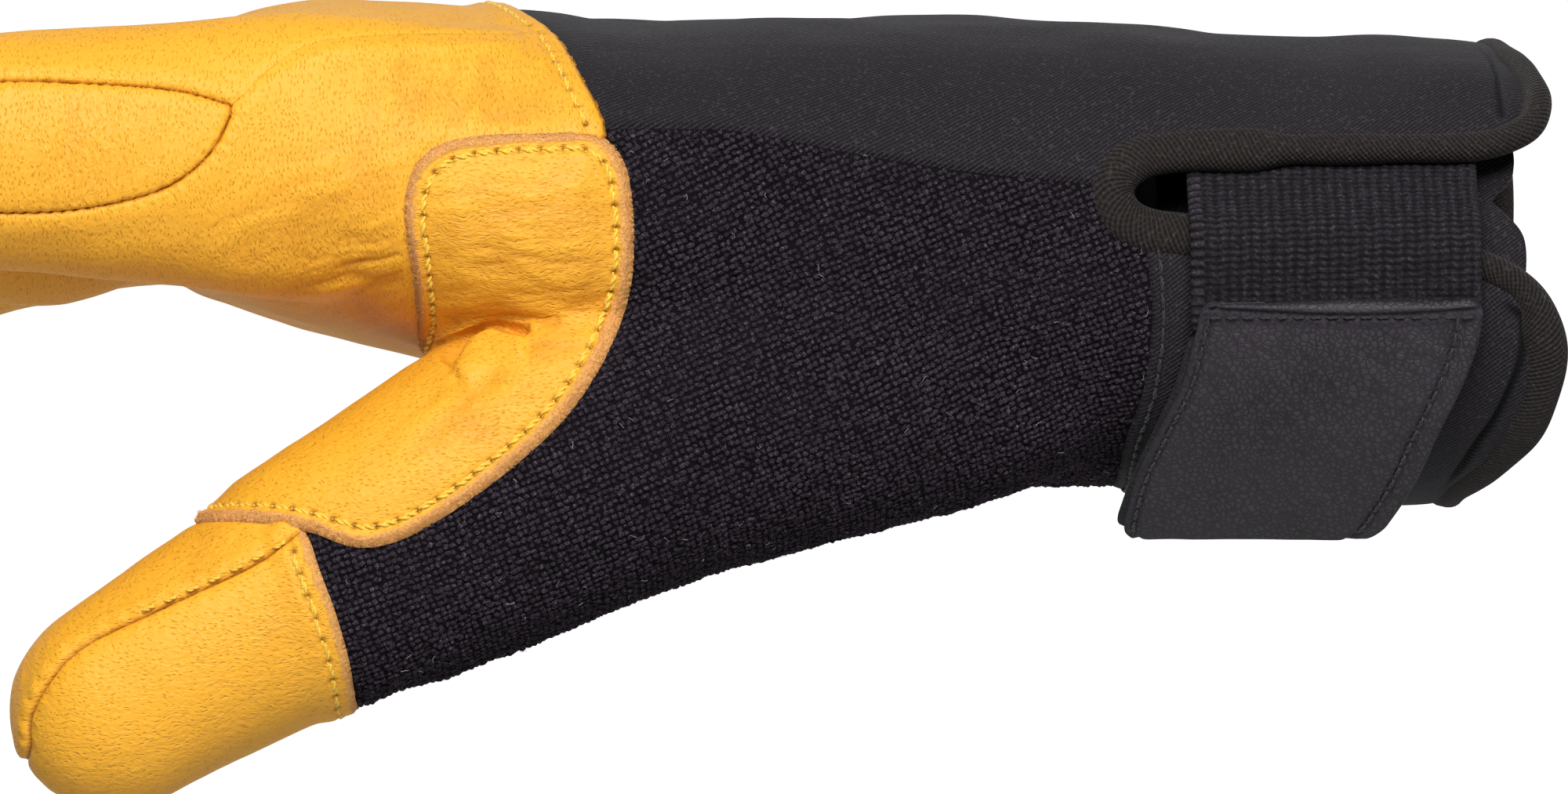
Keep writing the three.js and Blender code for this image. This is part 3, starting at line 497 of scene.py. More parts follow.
def seam_regions():
    """The region of each panel in the order of cutting, negative inside."""
    patch = corners(PATCH_OUTLINE, (-160, -12))
    under_patch = curved(PATCH_OUTLINE[13:])[::-1]
    tip = np.vstack([curved(TIP_HEM), [(-200, -75), (-200, -32)], under_patch[under_patch[:, 0] < -147.5]])
    tip_back = corners(TIP_SEAM, (-130, -75), (-130, -29.8))
    index = np.vstack([curved(STRIP_UPPER), curved(STRIP_LOWER)[:-1]])
    hem = corners(KNUCKLE_HEM, (-112.2, -FAR), (-300, -FAR), (-300, 60))
    near_top = np.vstack([[(-158, 19.2)], curved(RIDGE_SEAM), [(-100, FAR), (-158, FAR)]])
    far_top = [(-158, 12.4), *FAR_SEAM[:2], (-100, 10), (-100, FAR), (-158, FAR)]
    terry = np.vstack([curved(TERRY_SEAM[1:-1]), curved(TERRY_EDGE), [
        (-175, -60), (-175, -48), (-148, -30.5), (-140, -30.5), (-119, -19.5), (-112, -8)]])
    near_shell = np.vstack([curved(TERRY_SEAM), [(20, 9.2), (20, FAR), (-130, FAR), (-130, 27)]])
    far_shell = np.vstack([curved(FAR_SEAM[1:]), [(20, -4), (20, FAR), (-130, FAR), (-130, 10.8)]])
    near_mouth = np.vstack([
        [(MOUTH_TOP_X, FAR)], curved(SLIT_UPPER + SLIT_LOWER),
        [(MOUTH_BOTTOM_X, -FAR), (FAR, -FAR), (FAR, FAR)]])
    far_mouth = np.vstack([
        [(MOUTH_BOTTOM_X, -FAR)], curved(FAR_MOUTH), [(MOUTH_TOP_X, FAR), (FAR, FAR), (FAR, -FAR)]])

    def on_side(outline):
        return lambda p: side_of(outline, p[:, 0], p[:, 2])

    def mouth(p):
        near = ramp(p[:, 1], 6, -6)
        return near * on_side(near_mouth)(p) + (1 - near) * on_side(far_mouth)(p)

    def fourchette(k):
        return lambda p: np.minimum(
            np.maximum(strip(k, p, FINGER_START), lane(k, p, 1, FINGER_START)),
            np.maximum(strip(k + 1, p, FINGER_START), lane(k + 1, p, -1, FINGER_START)))

    def back(p):
        above = []
        for k in range(4):
            upper = np.array(STRIP_UPPER) - (0, 1)
            line = along_finger(k, p[:, 0], 2)
            if k == 0:
                line = np.interp(p[:, 0], upper[::-1, 0], upper[::-1, 1])
            for half in (-1, 1):
                above.append(np.maximum(line - p[:, 2], lane(k, p, half, FINGER_START)))
        near = p[:, 1] < 0
        top = np.where(near, on_side(near_top)(p), on_side(far_top)(p))
        return np.maximum(on_side(hem)(p), np.minimum.reduce(above + [top]))

    def terry_side(p):
        return np.maximum(np.minimum(on_side(terry)(p), on_side(THUMB_BACK)(p)), p[:, 1] - palm_line(p[:, 0]))

    def palm_line(x):
        """Where the terry meets the palm underneath; it runs further under towards the wrist."""
        return TERRY_PALM_LINE + 24 * ramp(x, -92, -70)

    def palm(p):
        heel = [(-155, 27.6), *FAR_SEAM[1:], (-54, -60), (-155, -60)]
        return np.minimum(on_side(hem)(p), np.maximum(on_side(heel)(p), palm_line(p[:, 0]) - p[:, 1]))

    def shell(p):
        return np.where(p[:, 1] < 0, on_side(near_shell)(p), on_side(far_shell)(p))

    return [
        ("mouth", mouth),
        ("thumb_patch", lambda p: np.maximum(on_side(patch)(p), p[:, 1] - PATCH_PALM_LINE)),
        ("thumb_tip_back", lambda p: np.maximum(on_side(tip)(p), on_side(tip_back)(p))),
        ("thumb_tip_palm", on_side(tip)),
        ("index_side_strip", lambda p: np.maximum(on_side(index)(p), lane(0, p, -1, INDEX_STRIP_START))),
        ("little_side_strip",
         lambda p: np.maximum(strip(3, p, LITTLE_STRIP_START), lane(3, p, 1, LITTLE_STRIP_START))),
        ("fourchette_1", fourchette(0)), ("fourchette_2", fourchette(1)), ("fourchette_3", fourchette(2)),
        ("back_leather", back), ("terry_panel", terry_side), ("palm_leather", palm),
        ("back_softshell", shell),
    ]


# Points nearer to the line of a cut than this share of their edge move onto it.
SNAP = 0.3


def cut(skin, tris, value):
    """Cuts triangles along value = 0 and returns those inside it, where it is negative, and the rest.
    Points close to the line move onto it, so no slivers are left."""
    points, normals, pinned = skin["points"], skin["normals"], skin["pinned"]
    value = value.copy()
    edges = edges_of(tris)
    a, b = edges[value[edges[:, 0]] * value[edges[:, 1]] < 0].T
    t = value[a] / (value[a] - value[b])
    who = np.concatenate([a[t < SNAP], b[t > 1 - SNAP]])
    to = np.concatenate([b[t < SNAP], a[t > 1 - SNAP]])
    share = np.concatenate([t[t < SNAP], 1 - t[t > 1 - SNAP]])
    order = np.argsort(-share)
    who, to, share = who[order], to[order], share[order]
    free = ~pinned[who]
    moved = points.copy()
    moved[who[free]] = points[who[free]] + (points[to[free]] - points[who[free]]) * share[free, None]
    value[who] = 0
    a, b = edges[value[edges[:, 0]] * value[edges[:, 1]] < 0].T
    t = (value[a] / (value[a] - value[b]))[:, None]
    count = len(points)
    skin["points"] = points = np.vstack([moved, moved[a] * (1 - t) + moved[b] * t])
    skin["normals"] = np.vstack([normals, unit(normals[a] * (1 - t) + normals[b] * t)])
    value = np.concatenate([value, np.zeros(len(a))])
    skin["pinned"] = np.concatenate([pinned, np.ones(len(a), bool)])
    skin["pinned"][who] = True
    keys = a * count + b
    order = np.argsort(keys)
    keys, fresh = keys[order], (count + np.arange(len(a)))[order]

    def between(p, q):
        key = np.minimum(p, q) * count + np.maximum(p, q)
        return fresh[np.searchsorted(keys, key)]

    signs = np.sign(value[tris])
    crossed = (signs < 0).any(1) & (signs > 0).any(1)
    parts = [tris[~crossed]]
    has_zero = (signs == 0).any(1)
    one = tris[crossed & has_zero]
    first = np.argmax(signs[crossed & has_zero] == 0, axis=1)
    o, p, q = (one[np.arange(len(one)), (first + k) % 3] for k in range(3))
    m = between(p, q)
    parts += [np.stack([o, p, m], 1), np.stack([o, m, q], 1)]
    both = tris[crossed & ~has_zero]
    s = signs[crossed & ~has_zero]
    first = np.argmax(s == -np.sign(s.sum(1))[:, None], axis=1)
    o, p, q = (both[np.arange(len(both)), (first + k) % 3] for k in range(3))
    m, n = between(o, p), between(o, q)
    parts += [np.stack([o, m, n], 1), np.stack([m, p, q], 1), np.stack([m, q, n], 1)]
    tris = np.vstack(parts)
    inside = np.sign(value[tris]).sum(1) < 0
    return tris[inside], tris[~inside]


def largest_part(tris, count):
    """Splits triangles into their largest connected part and the crumbs."""
    edges = edges_of(tris)
    label = np.arange(count)
    while True:
        low = np.minimum(label[edges[:, 0]], label[edges[:, 1]])
        fresh = label.copy()
        np.minimum.at(fresh, edges[:, 0], low)
        np.minimum.at(fresh, edges[:, 1], low)
        fresh = fresh[fresh]
        if np.array_equal(fresh, label):
            break
        label = fresh
    names, counts = np.unique(label[tris[:, 0]], return_counts=True)
    main = label[tris[:, 0]] == names[np.argmax(counts)]
    return tris[main], tris[~main]


def cut_panels():
    """Cuts the worn skin into its panels, first cut first served, and keeps them for the operators."""
    points, normals, rest = worn_skin()
    skin = {"points": points, "normals": normals, "pinned": np.zeros(len(points), bool)}
    panels = {}
    for name, region in seam_regions():
        panels[name], rest = cut(skin, rest, region(skin["points"]))
    panels["cuff_palm"] = rest
    del panels["mouth"]
    crumbs = []
    for name in panels:
        panels[name], left = largest_part(panels[name], len(skin["points"]))
        crumbs.append(left)
    crumbs = np.vstack(crumbs)
    while len(crumbs):
        best = [len(np.intersect1d(crumbs, panels[name])) for name in panels]
        name = list(panels)[int(np.argmax(best))]
        touching = np.isin(crumbs, panels[name]).sum(1) >= 2
        if not touching.any():
            break
        panels[name] = np.vstack([panels[name], crumbs[touching]])
        crumbs = crumbs[~touching]
    skin["panels"] = panels
    skin["owner"] = border_owners(panels)
    return skin


def border_owners(panels):
    """For each directed border edge, the name of the panel that has it."""
    owners = {}
    for name, tris in panels.items():
        for a, b in border_edges(tris):
            owners[(int(a), int(b))] = name
    return owners


def border_edges(tris):
    """Directed edges that only one triangle uses."""
    pairs = tris[:, [0, 1, 1, 2, 2, 0]].reshape(-1, 2)
    big = int(tris.max()) + 1
    keys, back = pairs[:, 0] * big + pairs[:, 1], pairs[:, 1] * big + pairs[:, 0]
    return pairs[~np.isin(keys, back)]


def refine(tris, marked, count):
    """Halves each edge between two marked points. Returns the triangles and the pair of points that
    each new point lies between."""
    edges = np.sort(tris[:, [0, 1, 1, 2, 2, 0]].reshape(-1, 2), axis=1)
    split = marked[edges].all(1)
    keys = edges[:, 0] * count + edges[:, 1]
    fresh = np.unique(keys[split])
    spot = np.where(split, count + np.searchsorted(fresh, keys), -1).reshape(-1, 3)
    number = (spot >= 0).sum(1)
    parts = [tris[number == 0]]
    t, m = tris[number == 3], spot[number == 3]
    parts += [np.stack([t[:, 0], m[:, 0], m[:, 2]], 1), np.stack([m[:, 0], t[:, 1], m[:, 1]], 1),
              np.stack([m[:, 2], m[:, 1], t[:, 2]], 1), m]
    t, m = tris[number == 1], spot[number == 1]
    first = np.argmax(m >= 0, axis=1)
    row = np.arange(len(t))
    a, b, c, mid = t[row, first], t[row, (first + 1) % 3], t[row, (first + 2) % 3], m[row, first]
    parts += [np.stack([a, mid, c], 1), np.stack([mid, b, c], 1)]
    return np.vstack(parts), np.stack([fresh // count, fresh % count], 1)


# ---- how edges are sewn

# Each pair of panels that doesn't meet in a plain turned seam, and how the first one ends there.
EDGES = {
    ("thumb_patch", "*"): "raw", ("*", "thumb_patch"): "under",
    ("thumb_tip_palm", "thumb_tip_back"): "lip", ("thumb_tip_back", "thumb_tip_palm"): "tucked",
    ("thumb_tip_back", "terry_panel"): "cut_hem", ("thumb_tip_palm", "terry_panel"): "cut_hem",
    ("terry_panel", "thumb_tip_back"): "under", ("terry_panel", "thumb_tip_palm"): "under",
    ("back_leather", "back_softshell"): "hem", ("palm_leather", "back_softshell"): "hem",
    ("back_softshell", "back_leather"): "under", ("back_softshell", "palm_leather"): "under",
    ("terry_panel", "back_softshell"): "flush", ("back_softshell", "terry_panel"): "flush",
    ("cuff_palm", "terry_panel"): "welt", ("terry_panel", "cuff_palm"): "under",
    ("back_leather", "palm_leather"): "fine", ("palm_leather", "back_leather"): "fine",
    ("palm_leather", "terry_panel"): "hem", ("terry_panel", "palm_leather"): "under",
}
# How far a lapping edge lies above its neighbour and how far it reaches over it, in millimetres.
LIFTS = {"cut_hem": 0.55, "hem": 0.6, "welt": 0.5}
OVERLAPS = {"raw": 0.45, "cut_hem": 0.3, "hem": 0.35, "welt": 0.3, "fine": 0.03, "flush": 0.02}
SEAM_SHIFT = -0.03
# How far the stitches lie from an edge.
INSETS = {"cut_hem": 2.1, "hem": 2.3, "welt": 1.1}


def edge_kind(name, other):
    """How a panel's edge is sewn where it meets another panel, or the binding."""
    if other is None:
        return "bound"
    for pair in ((name, other), (name, "*"), ("*", other)):
        if pair in EDGES:
            return EDGES[pair]
    return "turned"


def chains(tris):
    """The border of a panel as closed loops of points."""
    follow = {int(a): int(b) for a, b in border_edges(tris)}
    loops = []
    while follow:
        start, here = next(iter(follow.items()))
        loop = [start]
        del follow[start]
        while here in follow:
            loop.append(here)
            here = follow.pop(here)
        loops.append(loop)
    return loops


def nearest(points, targets):
    """Distance from each point to the nearest target, and which one it is."""
    tree = kdtree.KDTree(len(targets))
    for i, target in enumerate(targets):
        tree.insert(target, i)
    tree.balance()
    found = [tree.find(p) for p in points]
    return np.array([f[2] for f in found]), np.array([f[1] for f in found], int)


# The step between samples of a border, and the gap in the run from one loop to the next.
SAMPLE_STEP, LOOP_GAP = 0.2, 50.0


def edge_samples(skin, name):
    """Fine samples of a panel's border: place, kind of sewing, run along it and direction inward."""
    points, normals = skin["points"], skin["normals"]
    places, kinds, run, inward = [], [], [], []
    travelled = 0.0
    for loop in chains(skin["panels"][name]):
        closed = loop + loop[:1]
        ways = []
        for a, b in zip(closed[:-1], closed[1:]):
            kind = edge_kind(name, skin["owner"].get((b, a)))
            step = points[b] - points[a]
            size = np.linalg.norm(step)
            n = max(1, round(size / SAMPLE_STEP))
            f = (np.arange(n) / n)[:, None]
            places.append(points[a] + f * step)
            kinds += [kind] * n
            run.append(travelled + f[:, 0] * size)
            way = np.cross(unit(normals[a] + normals[b]), step / max(size, 1e-9))
            ways.append(np.repeat(way[None], n, 0))
            travelled += size
        ways = np.vstack(ways)
        reach = min(9, len(ways) // 2)
        around = np.vstack([ways[len(ways) - reach:], ways, ways[:reach]])
        sums = np.vstack([np.zeros((1, 3)), np.cumsum(around, axis=0)])
        inward.append(unit(sums[2 * reach + 1:] - sums[:-2 * reach - 1]))
        travelled += LOOP_GAP
    return np.vstack(places), np.array(kinds), np.concatenate(run), np.vstack(inward)


# Wrinkles: panels, centre x and z, reach along and across, angle of the furrows in degrees,
# spacing, depth. All as seen from the thumb side.
WRINKLES = [
    ("thumb_patch", -123.5, 4.5, 15, 7, 4, 1.9, 0.22),
    ("thumb_patch", -121.5, -4.5, 13, 7, -6, 2.2, 0.34),
    ("thumb_patch", -122.5, 0.0, 15, 12, 3, 1.15, 0.16),
    ("thumb_patch", -126.0, -17.0, 16, 6, 38, 2.0, 0.26),
    ("palm_leather", -124.0, 20.5, 8, 8, 86, 2.3, 0.30),
    ("palm_leather", -134.0, 22.0, 8, 9, 80, 2.0, 0.22),
    ("palm_leather", -139.0, -4.0, 10, 8, 18, 1.7, 0.50),
    ("palm_leather", -146.0, 4.0, 18, 10, 20, 2.2, 0.24),
    ("palm_leather", -137.0, -13.0, 9, 6, 42, 1.8, 0.40),
    ("back_leather", -128.0, 29.0, 22, 6, 75, 2.8, 0.30),
    ("thumb_tip_back", -148.5, -41.0, 7, 6, 62, 2.2, 0.12),
    ("thumb_tip_palm", -158.0, -34.0, 12, 4, 65, 2.4, 0.22),
    ("index_side_strip", -172.0, 13.0, 30, 8, 85, 2.4, 0.12),
]
# Folds: panels, points (x, z) of the valley, depth, width, height of the roll below it.
FOLDS = [
    (("thumb_patch",), [(-120.3, -8.2), (-122.8, -7.9), (-124.8, -7.1), (-126.8, -7.7), (-128.1, -8.6),
                        (-129.0, -9.9), (-129.7, -11.1), (-131.0, -12.5)], 1.5, 0.9, 0.9),
    (("thumb_patch",), [(-131.6, -6.2), (-127.5, -5.2), (-122.0, -5.6), (-116.5, -7.4)], 0.35, 1.1, 0.12),
    (("thumb_patch",), [(-132.2, -9.5), (-129.4, -8.4), (-126.6, -6.9)], 0.35, 0.7, 0.1),
    (("back_softshell",), [(-7.8, 28), (-7.6, 26), (-6.9, 25.2), (-6.5, 23.4), (-6.3, 19.9), (-6.1, 17.2)],
     0.5, 0.45, 0.25),
    (("cuff_palm",), [(-6.8, -3.2), (-6.3, -4.5), (-4.5, -5.8), (-4.1, -8.3), (-4.5, -11.5), (-5.6, -14.6),
                      (-7.2, -18.2), (-9.2, -21.3), (-11, -24.5), (-12.9, -27.4)], 0.9, 0.36, 0.0),
    (("back_leather", "palm_leather"), [(-122, 27.5), (-131, 27.4), (-140, 27.3), (-147, 26.2), (-151.8, 23),
                                        (-155.6, 18.8), (-157.2, 16.5)], 0.5, 0.45, 0.35),
]


def line_distance(line, x, z):
    """Distance from an open line, the side of it and how far along it, from 0 to 1."""
    line = np.asarray(line, float)
    best, side, along = np.full(len(x), 1e9), np.zeros(len(x)), np.zeros(len(x))
    for i, ((ax, az), (bx, bz)) in enumerate(zip(line[:-1], line[1:])):
        ux, uz = bx - ax, bz - az
        t = np.clip(((x - ax) * ux + (z - az) * uz) / (ux * ux + uz * uz), 0, 1)
        gap = np.hypot(x - ax - t * ux, z - az - t * uz)
        closer = gap < best
        best = np.where(closer, gap, best)
        side = np.where(closer, np.sign(ux * (z - az) - uz * (x - ax)), side)
        along = np.where(closer, (i + t) / (len(line) - 1), along)
    return best, side, along


def along_furrows(x, z, cx, cz, angle):
    """Places seen from the middle of a wrinkled spot: along its furrows and across them."""
    turn = math.radians(angle)
    return ((x - cx) * math.cos(turn) + (z - cz) * math.sin(turn),
            (z - cz) * math.cos(turn) - (x - cx) * math.sin(turn))


def wrinkle_height(name, p, normals):
    """Height of the wrinkles and folds of a panel, and its share of fine crinkles, from 0 to 1."""
    x, z = p[:, 0], p[:, 2]
    facing = ramp(-normals[:, 1], 0.05, 0.45)
    height, share = np.zeros(len(p)), np.zeros(len(p))
    for panel, cx, cz, along, across, angle, spacing, depth in WRINKLES:
        if panel != name:
            continue
        u, v = along_furrows(x, z, cx, cz, angle)
        reach = np.exp(-(u / along) ** 2 - (v / across) ** 2) * facing
        bend = 0.9 * noise(np.stack([u, v, v * 0], 1), 7.0, 5)
        # A furrow is some four times as long as it is wide, with finer ones of half its spacing in it.
        q = np.stack([u / 4.2, v + bend, 0 * u], 1)
        ridge = np.abs(noise(q, spacing, 11)) * 2 - 1
        ridge = 0.7 * ridge + 0.3 * (np.abs(noise(q, spacing * 0.5, 12)) * 2 - 1)
        height += depth * ridge * reach
        share = np.maximum(share, reach)
    for names, line, depth, width, roll in FOLDS:
        if name not in names:
            continue
        gap, side, along = line_distance(curved(line), x, z)
        ends = ramp(along, 0.0, 0.12) * ramp(along, 1.0, 0.9) * facing
        height -= depth * bell(gap, 0, width) * ends
        height += roll * bell(gap, 2.4 * width, 2.2 * width) * (side > 0) * ends
    return height, share


# Panels with fine wrinkles all over, so refined all over where they are seen.
FINE_PANELS = ("thumb_patch",)
# Soft waves of the filled panels: height and span.
SOFT_WAVES = {
    "back_leather": (0.30, 14), "palm_leather": (0.30, 13), "thumb_patch": (0.22, 9),
    "terry_panel": (0.45, 13), "back_softshell": (0.7, 19), "cuff_palm": (0.25, 14),
    "thumb_tip_back": (0.12, 9), "thumb_tip_palm": (0.15, 9),
}


def edge_height(kind, d, run, pitch):
    """Height of the surface at a distance d from an edge of one kind, both in millimetres. A seam sinks
    at its edge and swells beside it, and it puckers with the stitches."""
    puckers = np.cos(2 * np.pi * run / pitch)
    if kind == "turned":
        roll = sizes("seam_roll")
        fall = roll - np.sqrt(np.maximum(roll ** 2 - np.maximum(roll - d, 0) ** 2, 0))
        small = np.cos(2 * np.pi * run / (0.62 * pitch))
        return -fall + 0.14 * bell(d, 2.0, 1.4) + 0.1 * small * bell(d, 0.6, 0.6)
    if kind == "fine":
        return -0.12 * bell(d, 0, 0.5)
    if kind == "flush":
        return -0.45 * bell(d, 0, 0.5) + 0.12 * bell(d, 1.5, 0.9)
    if kind == "under":
        return -0.25 * bell(d, 0, 1.2)
    if kind == "bound":
        return -0.5 * bell(d, 0, 1.6)
    if kind == "lip":
        return -0.55 * bell(d, 0, 0.35) + 0.26 * bell(d, 1.6, 1.4) + 0.08 * puckers * bell(d, 0.9, 0.8)
    if kind == "tucked":
        return -0.6 * np.exp(-d / 0.7) + 0.07 * puckers * bell(d, 0.9, 0.7)
    if kind == "raw":
        edge = sizes("patch_lift") * np.sqrt(np.clip(d / 0.6, 0, 1)) - 0.1
        groove = 0.30 * bell(d, sizes("stitch_inset"), 0.55) * (0.8 + 0.2 * puckers)
        groove += 0.12 * bell(d, sizes("raw_band"), 0.25)
        return edge - groove + 0.55 * ramp(d, 2.2, 6.5)
    groove = 0.26 * bell(d, INSETS[kind], 0.5) * (0.7 + 0.3 * puckers)
    return LIFTS[kind] * np.sqrt(np.clip(d / 0.5, 0, 1)) * ramp(d, 5.5, 2.5) - groove


def flattened(points, tris):
    """Lays a panel's cloth flat: its flat pattern in millimetres, its u along X."""
    mesh = mesh_of("pattern", points, tris)
    flat = bpy.data.objects.new("pattern", mesh)
    bpy.context.scene.collection.objects.link(flat)
    bpy.context.view_layer.objects.active = flat
    for other in bpy.context.selected_objects:
        other.select_set(False)
    flat.select_set(True)
    mesh.uv_layers.new(name="flat")
    bpy.ops.object.mode_set(mode="EDIT")
    bpy.ops.mesh.select_all(action="SELECT")
    bpy.ops.uv.unwrap(method="CONFORMAL", margin=0)
    bpy.ops.object.mode_set(mode="OBJECT")
    loops = np.empty(2 * len(mesh.loops), np.float32)
    mesh.uv_layers["flat"].data.foreach_get("uv", loops)
    corner = np.empty(len(mesh.loops), np.int32)
    mesh.loops.foreach_get("vertex_index", corner)
    uv = np.zeros((len(points), 2))
    uv[corner] = loops.reshape(-1, 2)
    bpy.data.meshes.remove(mesh)
    real = np.linalg.norm(face_vectors(points, tris), axis=1).sum()
    signed = face_vectors(uv, tris).sum()
    uv *= math.sqrt(real / abs(signed))
    if signed > 0:
        uv[:, 0] *= -1
    used = np.unique(tris)
    centre = uv[used].mean(0)
    pull = ((uv[used] - centre) * (points[used, 0] - points[used, 0].mean())[:, None]).sum(0)
    turn = math.atan2(pull[1], pull[0])
    c, s = math.cos(turn), math.sin(turn)
    moved = uv - centre
    return np.stack([moved[:, 0] * c + moved[:, 1] * s, moved[:, 1] * c - moved[:, 0] * s], 1)


# A wrinkle deeper than this, in millimetres, needs the finest points.
DEEP = 0.3


def close_up(name, points, places):
    """Where a panel needs its finest points: at its seams, folds and wrinkles."""
    if name in FINE_PANELS:
        return np.ones(len(points), bool)
    gap, _ = nearest(points, places[::3])
    x, z = points[:, 0], points[:, 2]
    for names, line, *_ in FOLDS:
        if name in names:
            gap = np.minimum(gap, line_distance(curved(line, 2.0), x, z)[0])
    for panel, cx, cz, along, across, angle, _, depth in WRINKLES:
        if panel == name and depth > DEEP:
            u, v = along_furrows(x, z, cx, cz, angle)
            gap = np.where((u / along) ** 2 + (v / across) ** 2 < 1.3, 0, gap)
    return gap < 2.2


def sewn_panel(skin, name, material, slot, cloth=False, holes=None, near_steps=3):
    """Makes one panel as a closed piece: a fine outer face with its seams, folds and wrinkles, a
    plain inner face and the cut edge between them."""
    base = skin["panels"][name]
    used, local = np.unique(base, return_inverse=True)
    base = local.reshape(-1, 3)
    points, normals = skin["points"][used], skin["normals"][used]
    places, kinds, run, inward = edge_samples(skin, name)
    flat = flattened(points, base)
    tris, mid = base, {}
    outer_p, outer_n, outer_f = points, normals, flat
    # First all that can be seen from the thumb side gets finer, then what lies at seams, folds and
    # wrinkles, and last the needle's holes.
    for level in range(near_steps):
        near = (outer_n[:, 1] < 0.2) & (outer_p[:, 1] < 5)
        if level == 1:
            near &= close_up(name, outer_p, places)
        elif level == 2:
            near &= nearest(outer_p, holes)[0] < 1.0 if holes is not None else False
        tris, parents = refine(tris, near, len(outer_p))
        for i, (a, b) in enumerate(parents):
            mid[(int(a), int(b))] = len(outer_p) + i
        outer_p = np.vstack([outer_p, outer_p[parents].mean(1)])
        outer_n = unit(np.vstack([outer_n, outer_n[parents].sum(1)]))
        outer_f = np.vstack([outer_f, outer_f[parents].mean(1)])
    border = np.zeros(len(outer_p), bool)
    border[np.unique(border_edges(tris))] = True
    edges = edges_of(tris)
    for _ in range(3):
        mean = neighbours_mean(outer_p, edges, len(outer_p))
        outer_p = np.where(border[:, None], outer_p, 0.5 * outer_p + 0.5 * mean)
    height = np.zeros(len(outer_p))
    # The edge field is a distance in millimetres, and 9 stands for far from any edge. From it the
    # leather gets painted shade along its seams.
    fields = {"edge": np.full(len(outer_p), 9.0)}
    pitch = sizes("stitch_pitch")
    whole, near_sample = nearest(outer_p, places)
    for kind in np.unique(kinds):
        mask = kinds == kind
        d, i = nearest(outer_p, places[mask])
        height += edge_height(kind, d, run[mask][i], pitch)
        if kind not in ("fine", "raw"):
            fields["edge"] = np.minimum(fields["edge"], d)
        if kind in ("raw", "cut_hem"):
            width = sizes("raw_band") * (1 - 0.28 * inward[mask][i][:, 0]) if kind == "raw" else 0.75
            wander = 0.16 * noise(outer_p, 1.1, 3) + 0.1 * noise(outer_p, 0.4, 4)
            fields["raw"] = ramp(d + wander, width + 0.12, width - 0.12)
    wrinkles, fields["crinkle"] = wrinkle_height(name, outer_p, outer_n)
    wrinkles *= ramp(whole, 0.4, 3.0)
    wave, span = SOFT_WAVES.get(name, (0.1, 10))
    waves = wave * (noise(outer_p, span, 21) + 0.4 * noise(outer_p, span / 2.3, 22)) * ramp(whole, 0.0, 7.0)
    height += wrinkles + waves
    # Round the needle's holes the leather sinks, and a field paints shade into them.
    if holes is not None:
        gap, _ = nearest(outer_p, holes)
        height -= 0.5 * bell(gap, 0, 0.3)
        fields["needle_hole_shade"] = bell(gap, 0, 0.36)
    # Painted shade for the valleys of the wrinkles and folds, where leather and cloth are darkened.
    fields["crease_shade"] = np.clip(-wrinkles / 0.35, 0, 1)
    reach = np.array([-OVERLAPS.get(kind, -SEAM_SHIFT) for kind in kinds])
    reach = np.convolve(np.pad(reach, 8, mode="edge"), np.full(17, 1 / 17), "valid")
    shift = np.where(border[:, None], inward[near_sample] * reach[near_sample, None], 0)
    outer_p = outer_p + outer_n * height[:, None] + shift
    on_border = border[:len(points)]
    inner_p = points - normals * sizes("wall") + shift[:len(points)]

    start = len(outer_p)
    rim = []

    def chain(a, b):
        m = mid.get((min(a, b), max(a, b)))
        return [a] if m is None else chain(a, m) + chain(m, b)

    for a, b in border_edges(base):
        a, b = int(a), int(b)
        line = chain(a, b) + [b]
        rim += [(q, p, start + a) for p, q in zip(line[:-1], line[1:])] + [(b, start + a, start + b)]
    all_tris = np.vstack([tris, base[:, ::-1] + start, np.array(rim)])
    which = np.concatenate([np.zeros(len(tris)), np.ones(len(base)), np.zeros(len(rim))])
    everything = {}
    for key, values in fields.items():
        inside = values[:len(points)] * on_border if key == "raw" else np.zeros(len(points))
        everything[key] = np.concatenate([values, inside])
    if cloth:
        everything["flat"] = np.vstack([flat_points(outer_f), flat_points(flat)]) * MM
    shown = piece(name + "_sewn", np.vstack([outer_p, inner_p]), all_tris, [material, lining()], slot,
                  which, **everything)
    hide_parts(name)
    area = np.linalg.norm(face_vectors(points, base), axis=1).sum() / 2
    skin.setdefault("made", {})[name] = (outer_p, tris, outer_n, outer_f, whole)
    return shown, {"flat": tuple(np.ptp(flat, axis=0) * MM), "area": area * MM * MM}


# ---- threads

def evened(rows, window=15):
    """Rows of a table, each the mean of as many before it and after it."""
    pad = np.vstack([np.repeat(rows[:1], window, 0), rows, np.repeat(rows[-1:], window, 0)])
    kernel = np.ones(2 * window + 1) / (2 * window + 1)
    return np.stack([np.convolve(pad[:, k], kernel, "valid") for k in range(3)], 1)


# A run of an edge with fewer samples than this is too short to stitch.
SHORTEST = 40


def seam_line(skin, name, kind, inset):
    """Places of a line of stitches along the edges of one kind, each run a row of points."""
    places, kinds, run, inward = edge_samples(skin, name)
    picked = np.flatnonzero(kinds == kind)
    runs = np.split(picked, np.flatnonzero((np.diff(picked) != 1) | (np.diff(run[picked]) > 5)) + 1)
    if len(runs) > 1 and runs[0][0] == 0 and runs[-1][-1] == len(kinds) - 1:
        runs = [np.concatenate([runs[-1], runs[0]])] + runs[1:-1]
    return [evened(places[some]) + unit(evened(inward[some])) * inset
            for some in runs if len(some) >= SHORTEST]


def run_of(line):
    """How far along a line each of its points lies."""
    return np.concatenate([[0], np.cumsum(np.linalg.norm(np.diff(line, axis=0), axis=1))])


def resampled(line, pitch):
    """Points at even steps along a line."""
    run = run_of(line)
    t = np.linspace(0, run[-1], max(2, int(run[-1] / pitch)) + 1)
    return np.stack([np.interp(t, run, line[:, k]) for k in range(3)], 1)


# A stitch is twisted of two plies, each a tube of seven rings with five sides.
PLIES, RINGS, SIDES = 2, 7, 5


